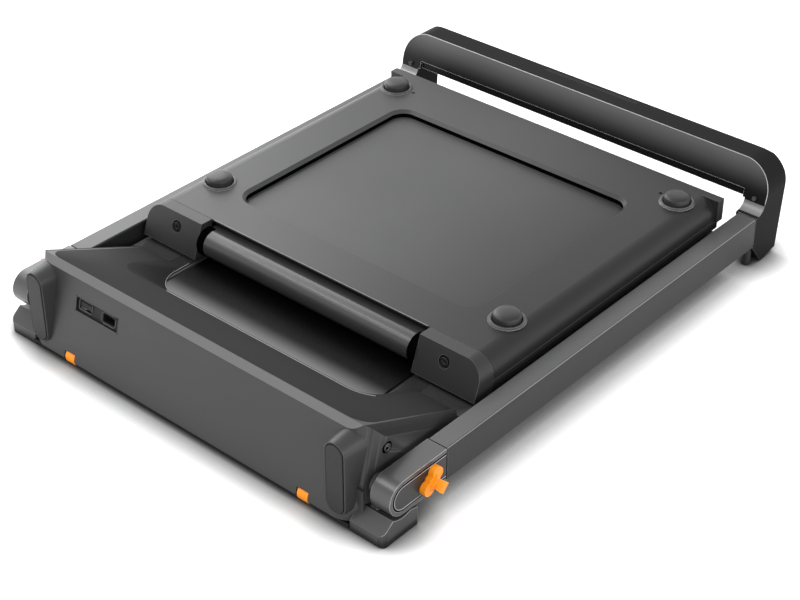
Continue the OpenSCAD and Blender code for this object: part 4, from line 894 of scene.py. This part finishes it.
# the recess floor, with its painted shade towards +X
repaint("rear_tray_rounded", "recessPaintedShade", lambda c, n: n.z > 0.9 and inRecess(c))
# painted shade on the hood's sloping sides
repaint("motor_cover_rounded", "platePaintedShade", onHoodSide)


# thin lines on the crossbar and the upper tray, in mm: painted highlights along the bar's front edge
# and the tray's front edge, and two lines on the bar's top
bar = {"x": 360, "top": 163, "radius": 48, "frontY": 419.7, "lean": 0.24, "lowZ": 105, "wire": 0.6,
       "lineYs": (447.5, 451.5), "lineX": (-88, 92), "lineZ": 162.9, "lineWire": 0.45}
trayLine = {"xs": (-204, 204), "y": -191.4, "z": 126.2, "wire": 0.6}


def barFront(x, z):
    return x, bar["frontY"] - bar["lean"] * (bar["top"] - z), z


edge = [(-bar["x"], bar["lowZ"])] + arcPoints(bar["radius"] - bar["x"], bar["top"] - bar["radius"],
                                              bar["radius"], 180, 90, 16)
edge = [barFront(x, z) for x, z in edge + [(-x, z) for x, z in edge[::-1]]]
trimLine("bar_edge_line", edge, bar["wire"], "edgePaintedHighlight", "handle_shell")
for k, y in enumerate(bar["lineYs"]):
    trimLine(f"bar_line_{k}", [(x, y, bar["lineZ"]) for x in bar["lineX"]], bar["lineWire"],
             "barLine", "handle_shell", sides=6)
# painted highlight along the tray's front edge
trimLine("tray_front_line", [(x, trayLine["y"], trayLine["z"]) for x in trayLine["xs"]],
         trayLine["wire"], "postEdgePaintedHighlight", "rear_tray", sides=6)

# screw heads on the handle's legs and ribs on the dial, in mm
legScrew = {"xs": (-341, 341), "y": 403.6, "z": 107.6, "radius": 3.2, "depth": 1.2}
runTree("leg_screw_heads", [(x, legScrew["y"], legScrew["z"]) for x in legScrew["xs"]], [],
        screws, {"Radius": legScrew["radius"] * mm, "Depth": legScrew["depth"] * mm,
                 "Turn": (math.pi / 2, 0, 0), "Material": "blackSteel"}, "leg_screws")
dialRib = {"count": 24, "ring": 13, "height": 5.6, "width": 0.8, "lift": 3.4}
lo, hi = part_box("speed_dial")
dialPlace = ((lo.x + hi.x) / 2 / mm, (lo.y + hi.y) / 2 / mm, lo.z / mm + dialRib["lift"])
runTree("dial_ribs", [dialPlace], [], ribs,
        {"Count": dialRib["count"], "Radius": dialRib["ring"] * mm,
         "Height": dialRib["height"] * mm, "Width": dialRib["width"] * mm,
         "Material": "orangePlastic"}, "speed_dial")
print("second finishes, screws and ribs ready")


# a paper floor that looks white to the camera and stays dim for the object, with a painted shadow
# darkening it near the object
def makeFloor():
    half = studio["floorHalf"]
    mesh = bpy.data.meshes.new("floor")
    mesh.from_pydata([(-half, -half, 0), (half, -half, 0), (half, half, 0), (-half, half, 0)], [],
                     [(0, 1, 2, 3)])
    floor = newObject("floor", mesh)
    floor.location.z = -studio["floorDrop"]
    mat = bpy.data.materials.new("floorPaper")
    mat.use_nodes = True
    tree = mat.node_tree
    shader = tree.nodes["Principled BSDF"]
    shader.inputs["Roughness"].default_value = 0.9
    shader.inputs["Specular IOR Level"].default_value = 0.1
    path = tree.nodes.new("ShaderNodeLightPath")
    seen = mathNode(tree, "MAXIMUM", path.outputs["Is Camera Ray"], path.outputs["Is Glossy Ray"])
    # painted shadow: ambient occlusion darkens the floor's colour and glow near the object
    near = tree.nodes.new("ShaderNodeAmbientOcclusion")
    near.samples = studio["paintedShadowSamples"]
    near.inputs["Distance"].default_value = studio["paintedShadowReach"]
    paintedContactShadow = mathNode(tree, "POWER", near.outputs["AO"], studio["paintedShadowPower"])
    paper = mixColors(tree, paintedContactShadow, (0.0, 0.0, 0.0, 1), studio["floorSeen"])
    shown = mixColors(tree, seen, studio["floorBounce"], paper)
    tree.links.new(shown, shader.inputs["Base Color"])
    lit = mathNode(tree, "MULTIPLY", paintedContactShadow, seen)
    glow = mathNode(tree, "MULTIPLY", lit, studio["floorGlow"])
    shader.inputs["Emission Color"].default_value = (1, 1, 1, 1)
    tree.links.new(glow, shader.inputs["Emission Strength"])
    mesh.materials.append(mat)


makeFloor()
print("floor ready")
